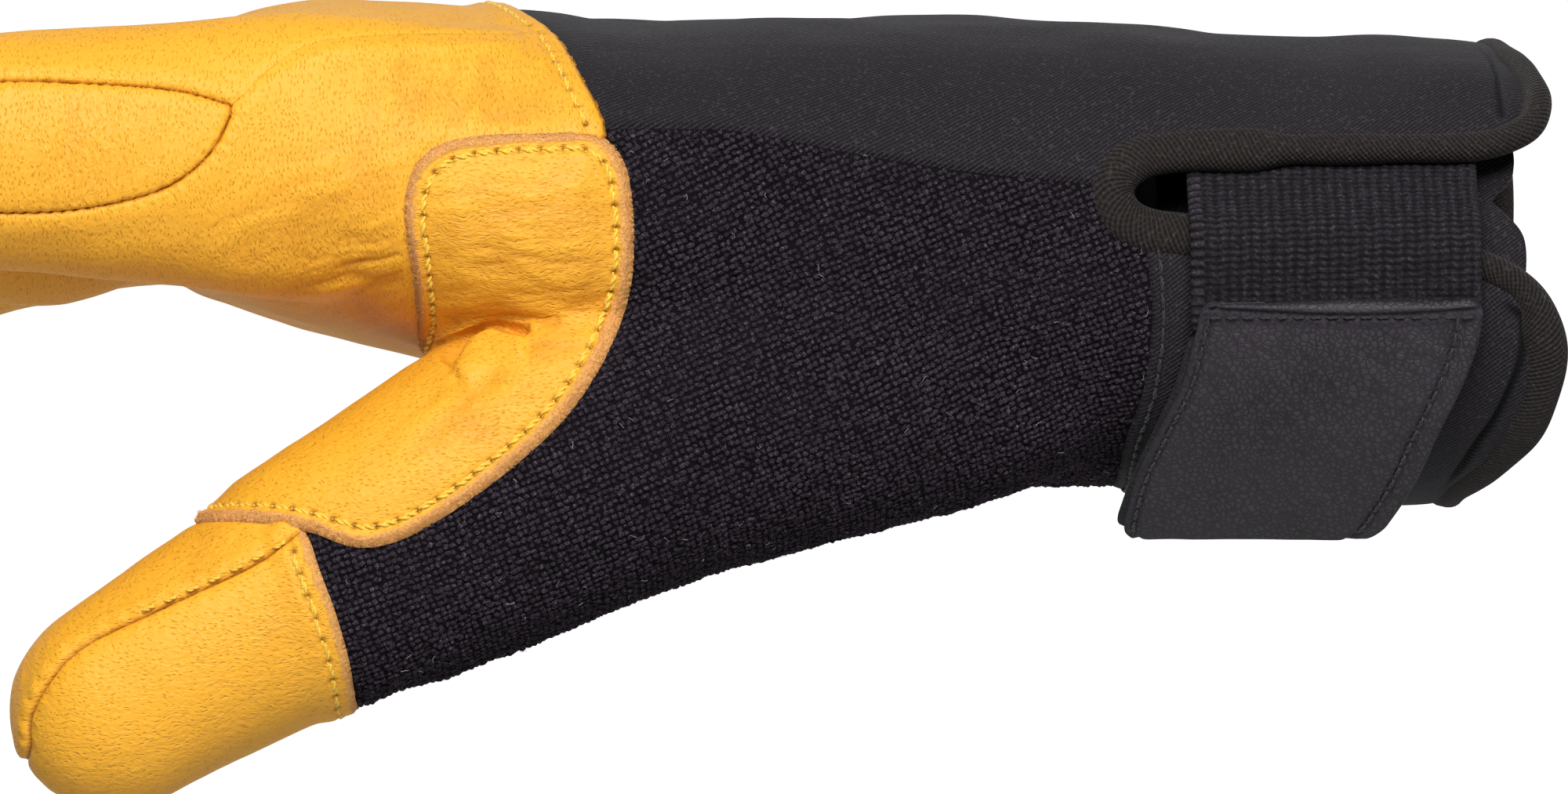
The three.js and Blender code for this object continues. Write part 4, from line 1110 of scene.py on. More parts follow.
def thread_shape(starts, ends, normals, radius, rise):
    """Short stitches of twisted thread, each diving into the surface at both ends."""
    f = np.linspace(0, 1, RINGS)
    thick = np.full(RINGS, radius * 0.62) * (0.55 + 0.45 * np.sin(np.pi * f) ** 0.5)
    shapes = []
    for a, b, n in zip(starts, ends, normals):
        along = unit(b - a)
        across = unit(np.cross(n, along))
        up = np.cross(along, across)
        arc = a + (b - a) * f[:, None] + n * (rise * np.sin(np.pi * f) ** 0.6 + 0.1 * radius)[:, None]
        wide, tall = (np.broadcast_to(way, arc.shape) for way in (across, up))
        for ply in range(PLIES):
            turn = 2 * np.pi * (1.1 * f + ply / PLIES)
            offset = radius * 0.48 * (across * np.cos(turn)[:, None] + up * np.sin(turn)[:, None])
            shapes.append(skinned(ovals(arc + offset, wide, tall, thick, thick, 2, SIDES)))
    return joined(shapes)


def stitched(skin, name, lines, label, material, slot, radius, pitch, fill=0.95, rise=0.38):
    """Sews lines of stitches onto a finished panel and returns the piece."""
    outer_p, tris = skin["made"][name][:2]
    tree = bvhtree.BVHTree.FromPolygons(outer_p.tolist(), tris.tolist())
    starts, ends, normals = [], [], []
    for line in lines:
        marks = resampled(line, pitch)
        for a, b in zip(marks[:-1], marks[1:]):
            middle, half = (a + b) / 2, (b - a) * fill / 2
            first, last, centre = (tree.find_nearest(spot) for spot in (middle - half, middle + half, middle))
            starts.append(first[0])
            ends.append(last[0])
            normals.append(centre[1])
    shape = thread_shape(np.array(starts), np.array(ends), np.array(normals), radius, rise)
    return piece(label, *shape, [material], slot)


# ---- materials

# Settings that many nodes share.
PLUS, MINUS, TIMES = {"operation": "ADD"}, {"operation": "SUBTRACT"}, {"operation": "MULTIPLY"}
OF_COLOURS = {"data_type": "RGBA", "out": 2}


def add(tree, kind, inputs=(), out=0, **settings):
    """Adds a shader node with its settings, its inputs as values or links, and returns an output."""
    node = tree.nodes.new("ShaderNode" + kind)
    for key, value in settings.items():
        setattr(node, key, value)
    for key, value in inputs.items() if isinstance(inputs, dict) else enumerate(inputs):
        if isinstance(value, bpy.types.NodeSocket):
            tree.links.new(value, node.inputs[key])
        else:
            node.inputs[key].default_value = value
    return node.outputs[out]


def finished(name, recipe, **settings):
    """The material of this name. When it is new, its shader gets its own numbers from the settings. The
    recipe's nodes give what varies over the surface: a link for each socket, and the fine relief as
    its height, strength and depth in metres."""
    material = bpy.data.materials.get(name)
    if material is None:
        material = bpy.data.materials.new(name)
        material.use_nodes = True
        tree = material.node_tree
        shader = tree.nodes["Principled BSDF"]
        for key, value in settings.items():
            shader.inputs[key.replace("_", " ")].default_value = value
        links, relief = recipe(tree)
        if relief:
            links["Normal"] = add(tree, "Bump", dict(zip(("Height", "Strength", "Distance"), relief)))
        for key, output in links.items():
            tree.links.new(output, shader.inputs[key])
    return material


def shade(base, share):
    """A colour made darker or lighter."""
    return (*(channel * share for channel in base[:3]), 1.0)


def painted(tree, hue, *layers):
    """A colour with others laid over it. Each layer is a value and a colour, and then where the layer
    starts, where it is full and the most that it covers, if it isn't from 0 to 1."""
    for value, over, *spread in layers:
        if spread:
            value = add(tree, "MapRange", (value, *spread[:2], 0.0, spread[2]))
        hue = add(tree, "Mix", {0: value, 6: hue, 7: over}, **OF_COLOURS)
    return hue


def swayed(tree, place, scale, reach, detail=1.0):
    """Places moved about by a noise, so that a pattern on them isn't regular."""
    sway = add(tree, "TexNoise", {"Vector": place, "Scale": scale, "Detail": detail}, out="Color")
    sway = add(tree, "VectorMath", (sway, (0.5, 0.5, 0.5)), **MINUS)
    sway = add(tree, "VectorMath", {0: sway, "Scale": reach}, operation="SCALE")
    return add(tree, "VectorMath", (place, sway), **PLUS)


def goat_leather(lengthwise=True):
    """Goat leather, dyed in the drum and lightly pressed: short rows of pores like dashes, fine grain
    lines between them and a soft even sheen, with painted shade in its creases, in the furrows of its
    crinkles, along its seams and in its needle holes. The dashes lie along the hand, or across it on the
    panels that are cut the other way."""
    main, suede = tint("leather"), tint("suede")

    def tone(red, green, blue):
        return (main[0] * red, main[1] * green, main[2] * blue, 1.0)

    def laid(along, deep, across):
        return (along, deep, across) if lengthwise else (across, deep, along)

    def recipe(tree):
        place = add(tree, "TexCoord", out="Object")
        bent = swayed(tree, swayed(tree, place, 220.0, 0.0022), 1100.0, 0.0005)
        crinkle, crease_shade, edge, needle_hole_shade, raw = (
            add(tree, "Attribute", out="Fac", attribute_name=name)
            for name in ("crinkle", "crease_shade", "edge", "needle_hole_shade", "raw"))
        # Specks of 0.3 mm break up the pores. The hide is uneven over some 13 mm and some 33 mm. The
        # split fibres of the raw edge are 0.4 mm apart, in tufts of 2.4 mm.
        specks, patches, broad, fibres, nap = (
            add(tree, "TexNoise", {"Vector": place, "Scale": scale, "Detail": detail, "Roughness": rough})
            for scale, detail, rough in ((3300.0, 1.0, 0.5), (75.0, 3.0, 0.5), (30.0, 2.0, 0.5),
                                         (2600.0, 4.0, 0.7), (420.0, 3.0, 0.5)))
        # Pores in dashes 0.8 mm long, in wandering rows 0.5 mm apart. The dashes of real goatskin are
        # a little finer.
        rows = add(tree, "Mapping", {"Vector": bent, "Scale": laid(0.62, 0.4, 1.0), "Rotation": (0, 0.1, 0)})
        dash = add(tree, "TexVoronoi", {"Vector": rows, "Scale": 1900.0, "Randomness": 0.7}, out="Position",
                   feature="F1")
        dash = add(tree, "VectorMath", (dash, rows), **MINUS)
        dash = add(tree, "VectorMath", (dash, laid(0.5, 0.3, 1.0)), **TIMES)
        dash = add(tree, "VectorMath", (dash,), out="Value", operation="LENGTH")
        dash = add(tree, "MapRange", (dash, 0.0001, 0.00002))
        dash = add(tree, "Math", (dash, add(tree, "MapRange", (specks, 0.3, 0.5, 0.35, 1.0))), **TIMES)
        seen = add(tree, "Math", (dash, add(tree, "MapRange", (patches, 0.3, 0.65, 0.08, 0.34))), **TIMES)
        # Fine grain all over, 0.5 mm apart and 1 mm long.
        fine = add(tree, "Mapping", {"Vector": bent, "Scale": laid(0.5, 0.6, 1.0)})
        fine = add(tree, "TexNoise", {"Vector": fine, "Scale": 2000.0, "Detail": 3.0})
        # Crinkles in the wrinkled parts, 0.9 mm apart and some 2.6 mm long, with a little painted shade
        # in their furrows.
        lines = add(tree, "Mapping", {"Vector": bent, "Scale": laid(0.35, 0.5, 1.0)})
        lines = add(tree, "TexNoise", {"Vector": lines, "Scale": 1100.0, "Detail": 2.0})
        lines = add(tree, "Math", (add(tree, "Math", (lines, 0.5), **MINUS),), operation="ABSOLUTE")
        lines = add(tree, "Math", (add(tree, "MapRange", (lines, 0.09, 0.0)), crinkle), **TIMES)
        split = painted(tree, shade(suede, 0.7), (fibres, shade(suede, 1.5), 0.32, 0.68, 1.0),
                        (nap, shade(suede, 0.8), 0.35, 0.7, 0.5))
        # Painted shade: darker in the creases, the crinkles' furrows, along the seams and in the needle
        # holes.
        hue = painted(
            tree, tone(0.95, 0.92, 0.85), (broad, tone(1.0, 1.0, 1.0), 0.3, 0.7, 1.0),
            (lines, tone(0.72, 0.55, 0.42), 0.0, 1.0, 0.13), (fine, tone(1.06, 1.12, 1.6), 0.5, 0.75, 0.35),
            (seen, tone(0.72, 0.58, 0.42)), (crease_shade, tone(0.66, 0.5, 0.4), 0.0, 1.0, 0.55),
            (edge, tone(0.36, 0.2, 0.15), 0.32, 0.02, 0.75), (needle_hole_shade, tone(0.1, 0.05, 0.05), 0.0, 1.0, 0.9),
            (raw, split))
        rough = add(tree, "MapRange", (patches, 0.3, 0.7, 0.5, 0.6))
        rough = add(tree, "Math", (raw, 0.4, rough), operation="MULTIPLY_ADD")
        relief = add(tree, "Math", (fine, 1.1), **TIMES)
        for sunk, depth in ((dash, 0.7), (lines, 0.28)):
            relief = add(tree, "Math", (sunk, -depth, relief), operation="MULTIPLY_ADD")
        relief = painted(tree, relief, (raw, add(tree, "Math", (fibres, 3.0), **TIMES)))
        return {"Base Color": hue, "Roughness": rough}, (relief, 0.7, 0.00026)

    name = "goat leather, drum dyed and pressed" + ("" if lengthwise else ", cut across")
    return finished(name, recipe, Roughness=0.5, IOR=1.48, Specular_IOR_Level=0.38)


def knitted_terry():
    """Knitted cotton terry: tufts that drink the light, with painted shade that goes near black at their
    roots and between them, lighter painted tops and painted glints on their fibres.
    """
    main = tint("terry")

    def recipe(tree):
        # Wear in blotches of 8 mm. Single fibres are too fine to show, so they are drawn 0.26 mm wide.
        place = add(tree, "TexCoord", out="Object")
        blotch, fibre = (
            add(tree, "TexNoise", {"Vector": place, "Scale": scale, "Detail": detail, "Roughness": rough})
            for scale, detail, rough in ((120.0, 3.0, 0.5), (3800.0, 2.0, 0.7)))
        tuft = add(tree, "Attribute", out="Fac", attribute_name="tuft")
        painted_glint = add(tree, "Math", (add(tree, "MapRange", (fibre, 0.55, 0.75)), tuft), **TIMES)
        # Painted shade and highlight from the tufts' height: near black at their roots and on the cloth
        # between them, lighter at their tips, with painted glints on the fibres there.
        hue = painted(tree, shade(main, 0.12), (tuft, shade(main, 1.65)),
                      (blotch, shade(main, 0.6), 0.3, 0.7, 0.45), (painted_glint, shade(main, 9.0)))
        return {"Base Color": hue}, (fibre, 0.8, 0.00025)

    return finished("cotton terry, knitted", recipe, Roughness=1.0, IOR=1.5, Specular_IOR_Level=0.12)


def twill(name, base, thread_mm, angle, depth):
    """A twill weave: fine slanted ribs, drawn at the spacing of its threads, with painted shade between
    the ribs, painted highlight on them and painted shade in the folds.
    """
    main = tint(base)
    a_metre = 2 * math.pi / (thread_mm * MM)

    def recipe(tree):
        # The ribs waver over 3 mm. The cloth has fluff of 0.4 mm and blotches of 22 mm.
        flat = add(tree, "Attribute", out="Vector", attribute_name="flat")
        wobble = add(tree, "TexNoise", {"Vector": flat, "Scale": 300.0, "Detail": 2.0})
        turned = add(tree, "Mapping", {"Vector": flat, "Rotation": (0, 0, math.radians(angle))})
        along, across = (add(tree, "SeparateXYZ", (turned,), out=k) for k in (0, 1))
        beads = add(tree, "Math", (along, a_metre), **TIMES)
        ribs = add(tree, "Math", (wobble, 3.0), **TIMES)
        ribs = add(tree, "Math", (across, a_metre, ribs), operation="MULTIPLY_ADD")
        weave = 0.5
        for wave, height in ((beads, 0.12), (ribs, 0.4)):
            wave = add(tree, "Math", (wave,), operation="SINE")
            weave = add(tree, "Math", (wave, height, weave), operation="MULTIPLY_ADD")
        place = add(tree, "TexCoord", out="Object")
        fibre, blotch = (add(tree, "TexNoise", {"Vector": place, "Scale": scale, "Detail": detail})
                         for scale, detail in ((2400.0, 3.0), (45.0, 2.0)))
        crease_shade = add(tree, "Attribute", out="Fac", attribute_name="crease_shade")
        # Painted light: near black between the ribs, lighter on their tops, and darkened in the folds.
        hue = painted(tree, shade(main, 0.12), (weave, shade(main, 1.5)),
                      (blotch, shade(main, 0.75), 0.3, 0.7, 0.3), (fibre, shade(main, 4.0), 0.54, 0.76, 0.6),
                      (crease_shade, shade(main, 0.1)))
        relief = add(tree, "Math", (fibre, 0.5, weave), operation="MULTIPLY_ADD")
        return {"Base Color": hue}, (relief, 0.7, depth * MM)

    return finished(name, recipe, Roughness=0.8, IOR=1.5, Specular_IOR_Level=0.2, Sheen_Weight=0.05,
                    Sheen_Roughness=0.4)


def softshell():
    # Real twill threads of 0.25 mm are too fine for the render, so the ribs are 0.45 mm apart.
    return twill("polyester softshell, twill woven", "softshell", 0.45, 35, 0.2)


def binding_twill():
    # The ribs of the binding are 0.5 mm apart in the real strip and here.
    return twill("polyester twill strip, folded and stuffed", "twill", 0.5, 55, 0.35)


def woven_elastic():
    """Woven elastic: rubber cores under black yarn in a coarse ribbed weave, with painted shade near
    black in the valleys of the weave, lighter painted tops and painted glints on their fibres.
    """
    main = tint("elastic")

    def recipe(tree):
        # The yarn's fibres are too fine to show, so they are drawn 0.36 mm wide.
        place = add(tree, "TexCoord", out="Object")
        high = add(tree, "Attribute", out="Fac", attribute_name="yarn")
        fibre = add(tree, "TexNoise", {"Vector": place, "Scale": 2800.0, "Detail": 3.0})
        painted_glint = add(tree, "Math", (add(tree, "MapRange", (fibre, 0.5, 0.72)), high), **TIMES)
        # Painted light from the yarn's height: near black in the valleys, lighter on the tops, with glints.
        hue = painted(tree, shade(main, 0.03), (high, shade(main, 3.4)), (painted_glint, shade(main, 9.0)))
        return {"Base Color": hue}, (fibre, 0.7, 0.00022)

    return finished("elastic webbing, woven", recipe, Roughness=0.9, IOR=1.5, Specular_IOR_Level=0.2)


def black_leather():
    """Black cowhide, finished and embossed: small round pebbles with a dull gloss."""
    main = tint("tab")

    def recipe(tree):
        # Pebbles 0.7 mm wide with painted shade in the fine lines between them, wear in patches of 11 mm,
        # and fibres of 0.45 mm where the leather is cut.
        place = add(tree, "TexCoord", out="Object")
        bent = swayed(tree, place, 700.0, 0.0007, detail=3.0)
        valley = add(tree, "TexVoronoi", {"Vector": bent, "Scale": 1350.0}, out="Distance",
                     feature="DISTANCE_TO_EDGE")
        valley = add(tree, "MapRange", (valley, 0.02, 0.24))
        patches, fibre = (add(tree, "TexNoise", {"Vector": place, "Scale": scale, "Detail": 3.0})
                          for scale in (90.0, 2200.0))
        fuzz = add(tree, "Attribute", out="Fac", attribute_name="fuzz")
        nap = painted(tree, shade(main, 0.25), (fibre, shade(main, 1.3), 0.35, 0.7, 1.0))
        # Painted shade: near black in the grooves between the pebbles.
        hue = painted(tree, shade(main, 0.05), (valley, shade(main, 0.85)),
                      (patches, shade(main, 1.15), 0.35, 0.7, 0.4), (fuzz, nap))
        rough = add(tree, "MapRange", (patches, 0.3, 0.7, 0.56, 0.66))
        rough = add(tree, "Math", (fuzz, 0.4, rough), operation="MULTIPLY_ADD")
        relief = painted(tree, valley, (fuzz, add(tree, "Math", (fibre, 2.0), **TIMES)))
        return {"Base Color": hue, "Roughness": rough}, (relief, 0.8, 0.00007)

    return finished("cowhide, embossed, black", recipe, Roughness=0.6, IOR=1.5)


def fibrous(name, base, fibres, shades, relief, **settings):
    """A finish of fibres alone, that go from one shade of a colour to another. The fibres are the scale
    and detail of their noise and where the second shade starts and is full, the relief its strength
    and depth."""
    scale, detail, start, full = fibres
    main = tint(base)

    def recipe(tree):
        place = add(tree, "TexCoord", out="Object")
        fibre = add(tree, "TexNoise", {"Vector": place, "Scale": scale, "Detail": detail})
        hue = painted(tree, shade(main, shades[0]), (fibre, shade(main, shades[1]), start, full, 1.0))
        return {"Base Color": hue}, relief and (fibre, *relief)

    return finished(name, recipe, **settings)


def lining():
    """Brushed polyester lining: a dark nap in tufts of 1.1 mm, with no gloss."""
    return fibrous("polyester fleece, brushed", "lining", (900.0, 4.0, 0.3, 0.7), (0.7, 1.3), (0.5, 0.0004),
                   Roughness=0.95, IOR=1.5, Sheen_Weight=0.3)


def hook_tape():
    """Nylon hook tape: a stubble of tiny hooks 0.5 mm apart."""
    return fibrous("nylon hook tape, woven", "hook", (1900.0, 3.0, 0.45, 0.75), (0.4, 2.3), (0.9, 0.0004),
                   Roughness=0.8, IOR=1.53)


def studio_white(name, glow):
    """Matte paper with a grain of 2.5 mm. The wall behind the glove is lit by itself, as in a photo
    with a white ground."""
    return fibrous(name, "stage", (400.0, 2.0, 0.3, 0.7), (0.985, 1.0), None, Roughness=0.9, IOR=1.45,
                   Emission_Color=(1, 1, 1, 1), Emission_Strength=glow)


def spun(name, base, lift=1.0):
    """Spun thread and loose fibres: a soft gloss broken by the twist. The fibres in it are too fine to
    show, so they are drawn 0.3 mm wide."""
    return fibrous(name, base, (3500.0, 2.0, 0.3, 0.7), (0.75 * lift, 1.15 * lift), (0.4, 0.0001),
                   Roughness=0.55, IOR=1.5, Sheen_Weight=0.2)


def yellow_thread():
    """The sewing thread of the leather."""
    return spun("polyester thread, spun, yellow", "thread")


def black_thread():
    """The sewing thread of the cloth and the tab."""
    return spun("polyester thread, spun, black", "elastic", 0.9)


def lint():
    """Stray cotton fibres, nearly white."""
    return spun("cotton lint", "stage", 0.5)


def loose_cotton():
    """The loose fibre ends of the terry, dark grey."""
    return spun("cotton fibre, loose", "terry", 5.5)


def loose_suede():
    """The loose fibres of a cut leather edge."""
    return spun("leather fibre, loose", "suede", 1.25)


# ---- the cuff's trim

def hand_section(x):
    """Top, bottom, half width and power of the hand's oval at places along X."""
    rows = HAND[::-1]
    return (np.interp(x, rows[:, 0], rows[:, k]) for k in (1, 2, 4, 5))


def cuff_point(x, z, depth, side):
    """A point at a depth behind the hand's surface, on the near side (-1) or the far side (1)."""
    top, bottom, half, power = hand_section(x)
    height = (top - bottom) / 2 - depth
    rise = np.minimum(0.995, np.abs(z - (top + bottom) / 2) / height)
    reach = (half - depth) * (1 - rise ** power) ** (1 / power)
    return np.stack([x, side * reach, z], -1)


def binding_route():
    """The middle line of the binding, from the bottom of the mouth up the far side, over the top and
    round the slit, as in the CAD."""
    near = np.array(SLIT_UPPER + SLIT_LOWER)
    near = cuff_point(near[:, 0], near[:, 1], BINDING_INSET, -1)
    away = np.array(FAR_MOUTH)
    away = cuff_point(away[:, 0], away[:, 1], BINDING_INSET, 1)
    top = [MOUTH_TOP_X, 0, next(hand_section(MOUTH_TOP_X)) - BINDING_INSET]
    low = [MOUTH_BOTTOM_X, 0, list(hand_section(MOUTH_BOTTOM_X))[1] + BINDING_INSET]
    return np.vstack([[low], away, [top], near, [np.add(low, (0, -0.3, 0))]])


def sheet_grid(rows, columns, lines, soften=1.0, corner=0.0):
    """Outer points of a sheet on the near side of the cuff, and its directions down, across and in."""
    rows = smooth_rows(rows, np.linspace(0, 1, lines))
    f = np.linspace(0, 1, columns)
    left, right = rows[:, 1:2], rows[:, 2:3]
    end = np.minimum(rows[0, 0] - rows[:, :1], rows[:, :1] - rows[-1, 0])
    inset = corner - np.sqrt(np.maximum(corner ** 2 - np.maximum(corner - end, 0) ** 2, 0))
    x = left + inset + (right - left - 2 * inset) * f
    z = np.repeat(rows[:, :1], columns, 1)
    y = cuff_point(x.ravel(), np.maximum(z, SHEET_FLOOR).ravel(), 0, -1)[:, 1].reshape(x.shape) + rows[:, 3:4]
    for _ in range(round(soften / (rows[0, 0] - rows[1, 0]) ** 2)):
        y[1:-1] = (y[:-2] + 2 * y[1:-1] + y[2:]) / 4
    grid = np.stack([x, y, z], -1)
    inward = unit(np.cross(np.gradient(grid, axis=0), np.gradient(grid, axis=1)))
    inward = np.where(inward[..., 1:2] < 0, -inward, inward)
    return grid, inward


def sheet_piece(name, grid, inward, thickness, height, material, slot, **fields):
    """A closed sheet from a grid of outer points, raised by height, with rounded edges."""
    lines, columns = grid.shape[:2]
    outer = grid - inward * height[..., None]
    inner = grid + inward * thickness
    points = np.vstack([outer.reshape(-1, 3), inner.reshape(-1, 3)])
    index = np.arange(lines * columns).reshape(lines, columns)
    a, b = index[:-1, :-1].ravel(), index[:-1, 1:].ravel()
    c, d = index[1:, 1:].ravel(), index[1:, :-1].ravel()
    front = np.vstack([np.stack([a, b, c], 1), np.stack([a, c, d], 1)])
    loop = np.concatenate([index[0, :-1], index[:-1, -1], index[-1, :0:-1], index[:0:-1, 0]])
    after = np.roll(loop, -1)
    back = lines * columns
    rim = np.vstack([np.stack([after, loop, loop + back], 1),
                     np.stack([after, loop + back, after + back], 1)])
    tris = outward(points, np.vstack([front, front[:, ::-1] + back, rim]))
    doubled = {key: np.concatenate([values.reshape(back, -1)] * 2).squeeze()
               for key, values in fields.items()}
    shown = piece(name + "_sewn", points, tris, [material], slot, **doubled)
    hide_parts(name)
    return shown


def grid_measures(grid):
    """Arc lengths down and across a grid in millimetres, and the distances to its four edges."""
    down = np.linalg.norm(np.diff(grid, axis=0), axis=2)
    across = np.linalg.norm(np.diff(grid, axis=1), axis=2)
    v = np.vstack([np.zeros((1, grid.shape[1])), np.cumsum(down, 0)])
    u = np.hstack([np.zeros((grid.shape[0], 1)), np.cumsum(across, 1)])
    return u, v, u[:, -1:] - u, v[-1:] - v


# ---- operators

# The cut skin and the panels made from it, kept from one operator to the next.
GLOVE = {}


class GLOVE_OT_skin(bpy.types.Operator):
    """Cut the skin of the worn glove into its panels."""
    bl_idname = "glove.skin"
    bl_label = "Cut the panels"

    def execute(self, context):
        GLOVE.update(cut_panels())
        return {"FINISHED"}


def sewn_up(name, material, slot, kind, thread, radius, pitch, cloth=False):
    """Makes a panel and the stitches along its edges of one kind. In leather the needle's holes show."""
    lines = seam_line(GLOVE, name, kind, INSETS.get(kind) or sizes("stitch_inset"))
    holes = np.vstack([resampled(line, pitch) for line in lines]) if lines and not cloth else None
    shown, pattern = sewn_panel(GLOVE, name, material, slot, cloth=cloth, holes=holes)
    threads = [stitched(GLOVE, name, lines, name + "_stitches", thread, slot, radius, pitch)] if lines else []
    return shown, pattern, threads


class GLOVE_OT_leather(bpy.types.Operator):
    """Sew the leather of the hand, the fingers and the side strips."""
    bl_idname = "glove.leather"
    bl_label = "Leather panels"

    def execute(self, context):
        for name in ("back_leather", "palm_leather", "index_side_strip", "little_side_strip",
                     "fourchette_1", "fourchette_2", "fourchette_3"):
            shown, pattern, threads = sewn_up(name, goat_leather(lengthwise=False), "leather", "hem",
                                              yellow_thread(), sizes("thread") / 2, sizes("stitch_pitch"))
        return {"FINISHED"}


class GLOVE_OT_thumb(bpy.types.Operator):
    """Sew the thumb's patch and the two halves of its tip."""
    bl_idname = "glove.thumb"
    bl_label = "Thumb"

    def execute(self, context):
        pitch = sizes("stitch_pitch")
        for name, kind in (("thumb_patch", "raw"), ("thumb_tip_back", "cut_hem"),
                           ("thumb_tip_palm", "cut_hem")):
            radius = sizes("thread") / 2 * (1.25 if kind == "raw" else 1)
            shown, pattern, threads = sewn_up(name, goat_leather(), "leather", kind, yellow_thread(), radius,
                                              pitch)
            if name == "thumb_tip_palm":
                # The stitches that show in the long seam of the tip, from x = -167 to -149.
                seam = [line[(line[:, 0] > -167) & (line[:, 0] < -149) & (line[:, 1] < -38)]
                        for line in seam_line(GLOVE, name, "lip", 0.5)]
                threads.append(stitched(GLOVE, name, [line for line in seam if len(line) > 3],
                                        "thumb_seam_stitches", yellow_thread(), "leather",
                                        sizes("thread") / 2.6, pitch, fill=0.6, rise=0.25))
            if kind == "raw":
                points, tris, normals, _, edge = GLOVE["made"][name]
                share = ramp(edge, sizes("raw_band"), 0.6) + 1e-6
                threads.append(nap_hairs("patch_fuzz", points, tris, normals, share, loose_suede(), "leather",
                                         count=7000, long=0.55, thick=0.026, seed=29))
        return {"FINISHED"}


class GLOVE_OT_terry(bpy.types.Operator):
    """Knit the terry side with its tufts and lint."""
    bl_idname = "glove.terry"
    bl_label = "Terry side"

    def execute(self, context):
        shown, pattern = sewn_panel(GLOVE, "terry_panel", knitted_terry(), "terry", cloth=True, near_steps=1)
        points, tris, normals, _, edge = GLOVE["made"]["terry_panel"]
        hairs = nap_hairs("terry_fuzz", points, tris, normals, ramp(edge, 0.2, 0.6), loose_cotton(), "terry",
                          count=15000, long=0.75, thick=0.022, seed=23)
        terry_loops(GLOVE)
        lint_threads(GLOVE)
        return {"FINISHED"}


def knot():
    """One knot of the terry: eight points in two rings and a tip, each in shares of the knot's size."""
    ring = np.radians([45, 135, 225, 315])
    shape = [(math.cos(t), math.sin(t), 0.0) for t in ring]
    shape += [(0.86 * math.cos(t + 0.5), 0.86 * math.sin(t + 0.5), 0.6) for t in ring] + [(0, 0, 0.85)]
    faces = [(i, (i + 1) % 4, 4 + i) for i in range(4)]
    faces += [((i + 1) % 4, 4 + (i + 1) % 4, 4 + i) for i in range(4)]
    faces += [(4 + i, 4 + (i + 1) % 4, 8) for i in range(4)] + [(0, 3, 2), (0, 2, 1)]
    return np.array(shape), np.array(faces)


def terry_loops(skin):
    """The tufts of the terry: a bent knot at each place of its rows and columns."""
    outer_p, tris, outer_n, flat, edge = skin["made"]["terry_panel"]
    pitch = sizes("terry_pitch")
    tree = bvhtree.BVHTree.FromPolygons(flat_points(flat).tolist(), tris.tolist())
    low, high = flat.min(0), flat.max(0)
    random = np.random.default_rng(7)
    u, v = np.meshgrid(np.arange(low[0], high[0], pitch), np.arange(low[1], high[1], pitch), indexing="ij")
    spots = np.stack([u.ravel(), v.ravel()], 1)
    # The rows wander by 0.35 and 0.45 of their pitch over 9 and 12 mm, and every tuft a little by
    # itself.
    far = flat_points(spots)
    spots[:, 0] += pitch * (0.35 * noise(far, 9.0, 71) + random.normal(0, 0.12, len(spots)))
    spots[:, 1] += pitch * (0.45 * noise(far, 12.0, 72) + random.normal(0, 0.08, len(spots)))
    found = [tree.ray_cast((x, y, 1.0), (0, 0, -1))[2] for x, y in spots]
    kept = np.array([i is not None for i in found])
    spots, hit = spots[kept], tris[np.array([i for i in found if i is not None])]
    fa, fb, fc = flat[hit].transpose(1, 0, 2)
    weights = np.stack([np.cross(fb - spots, fc - spots), np.cross(fc - spots, fa - spots),
                        np.cross(fa - spots, fb - spots)], 1) / face_vectors(flat, hit)[:, None]
    inside = (weights * edge[hit]).sum(1) > 0.3
    hit, weights = hit[inside], weights[inside, :, None]
    places = (weights * outer_p[hit]).sum(1)
    normals = unit((weights * outer_n[hit]).sum(1))
    a, b, c = (outer_p[hit[:, k]] for k in range(3))
    fa, fb, fc = (flat[hit[:, k]] for k in range(3))
    # The direction in space in which the flat pattern runs along its rows.
    along = (fc - fa)[:, 1:] * (b - a) - (fb - fa)[:, 1:] * (c - a)
    along = unit(along / face_vectors(flat, hit)[:, None])
    across = np.cross(normals, along)
    n = len(places)
    turn = random.normal(0, 0.3, (n, 1))
    along, across = along * np.cos(turn) + across * np.sin(turn), across * np.cos(turn) - along * np.sin(turn)
    shape, faces = knot()
    size = pitch * np.stack([0.60 + 0.07 * random.normal(size=n), 0.50 + 0.05 * random.normal(size=n),
                             0.55 + 0.14 * random.normal(size=n)], 1)
    local = shape[None] * size[:, None]
    local[..., :2] *= 1 + 0.16 * random.normal(size=(n, len(shape), 1))
    points = (places[:, None] + local[..., :1] * along[:, None] + local[..., 1:2] * across[:, None]
              + (local[..., 2:] - 0.1) * normals[:, None])
    # How high each point of a knot stands; from it the terry gets painted shade at the root and a lighter,
    # painted top.
    tuft = np.clip(shape[None, :, 2] * random.uniform(0.7, 1.7, (n, 1)), 0, 1)
    return piece("terry_loops", points.reshape(-1, 3), copies(faces, n, len(shape)), [knitted_terry()],
                 "terry", tuft=tuft.ravel())


def scattered(points, tris, normals, share, count, seed):
    """Random places on a surface with its normals, more of them where share is high."""
    random = np.random.default_rng(seed)
    weight = np.linalg.norm(face_vectors(points, tris), axis=1) * share[tris].mean(1)
    pick = tris[random.choice(len(tris), count, p=weight / weight.sum())]
    r = random.random((2, count, 1))
    r = np.where(r.sum(0) > 1, 1 - r, r)
    mix = np.stack([1 - r[0] - r[1], r[0], r[1]])
    return ((mix * points[pick].transpose(1, 0, 2)).sum(0),
            unit((mix * normals[pick].transpose(1, 0, 2)).sum(0)), random)


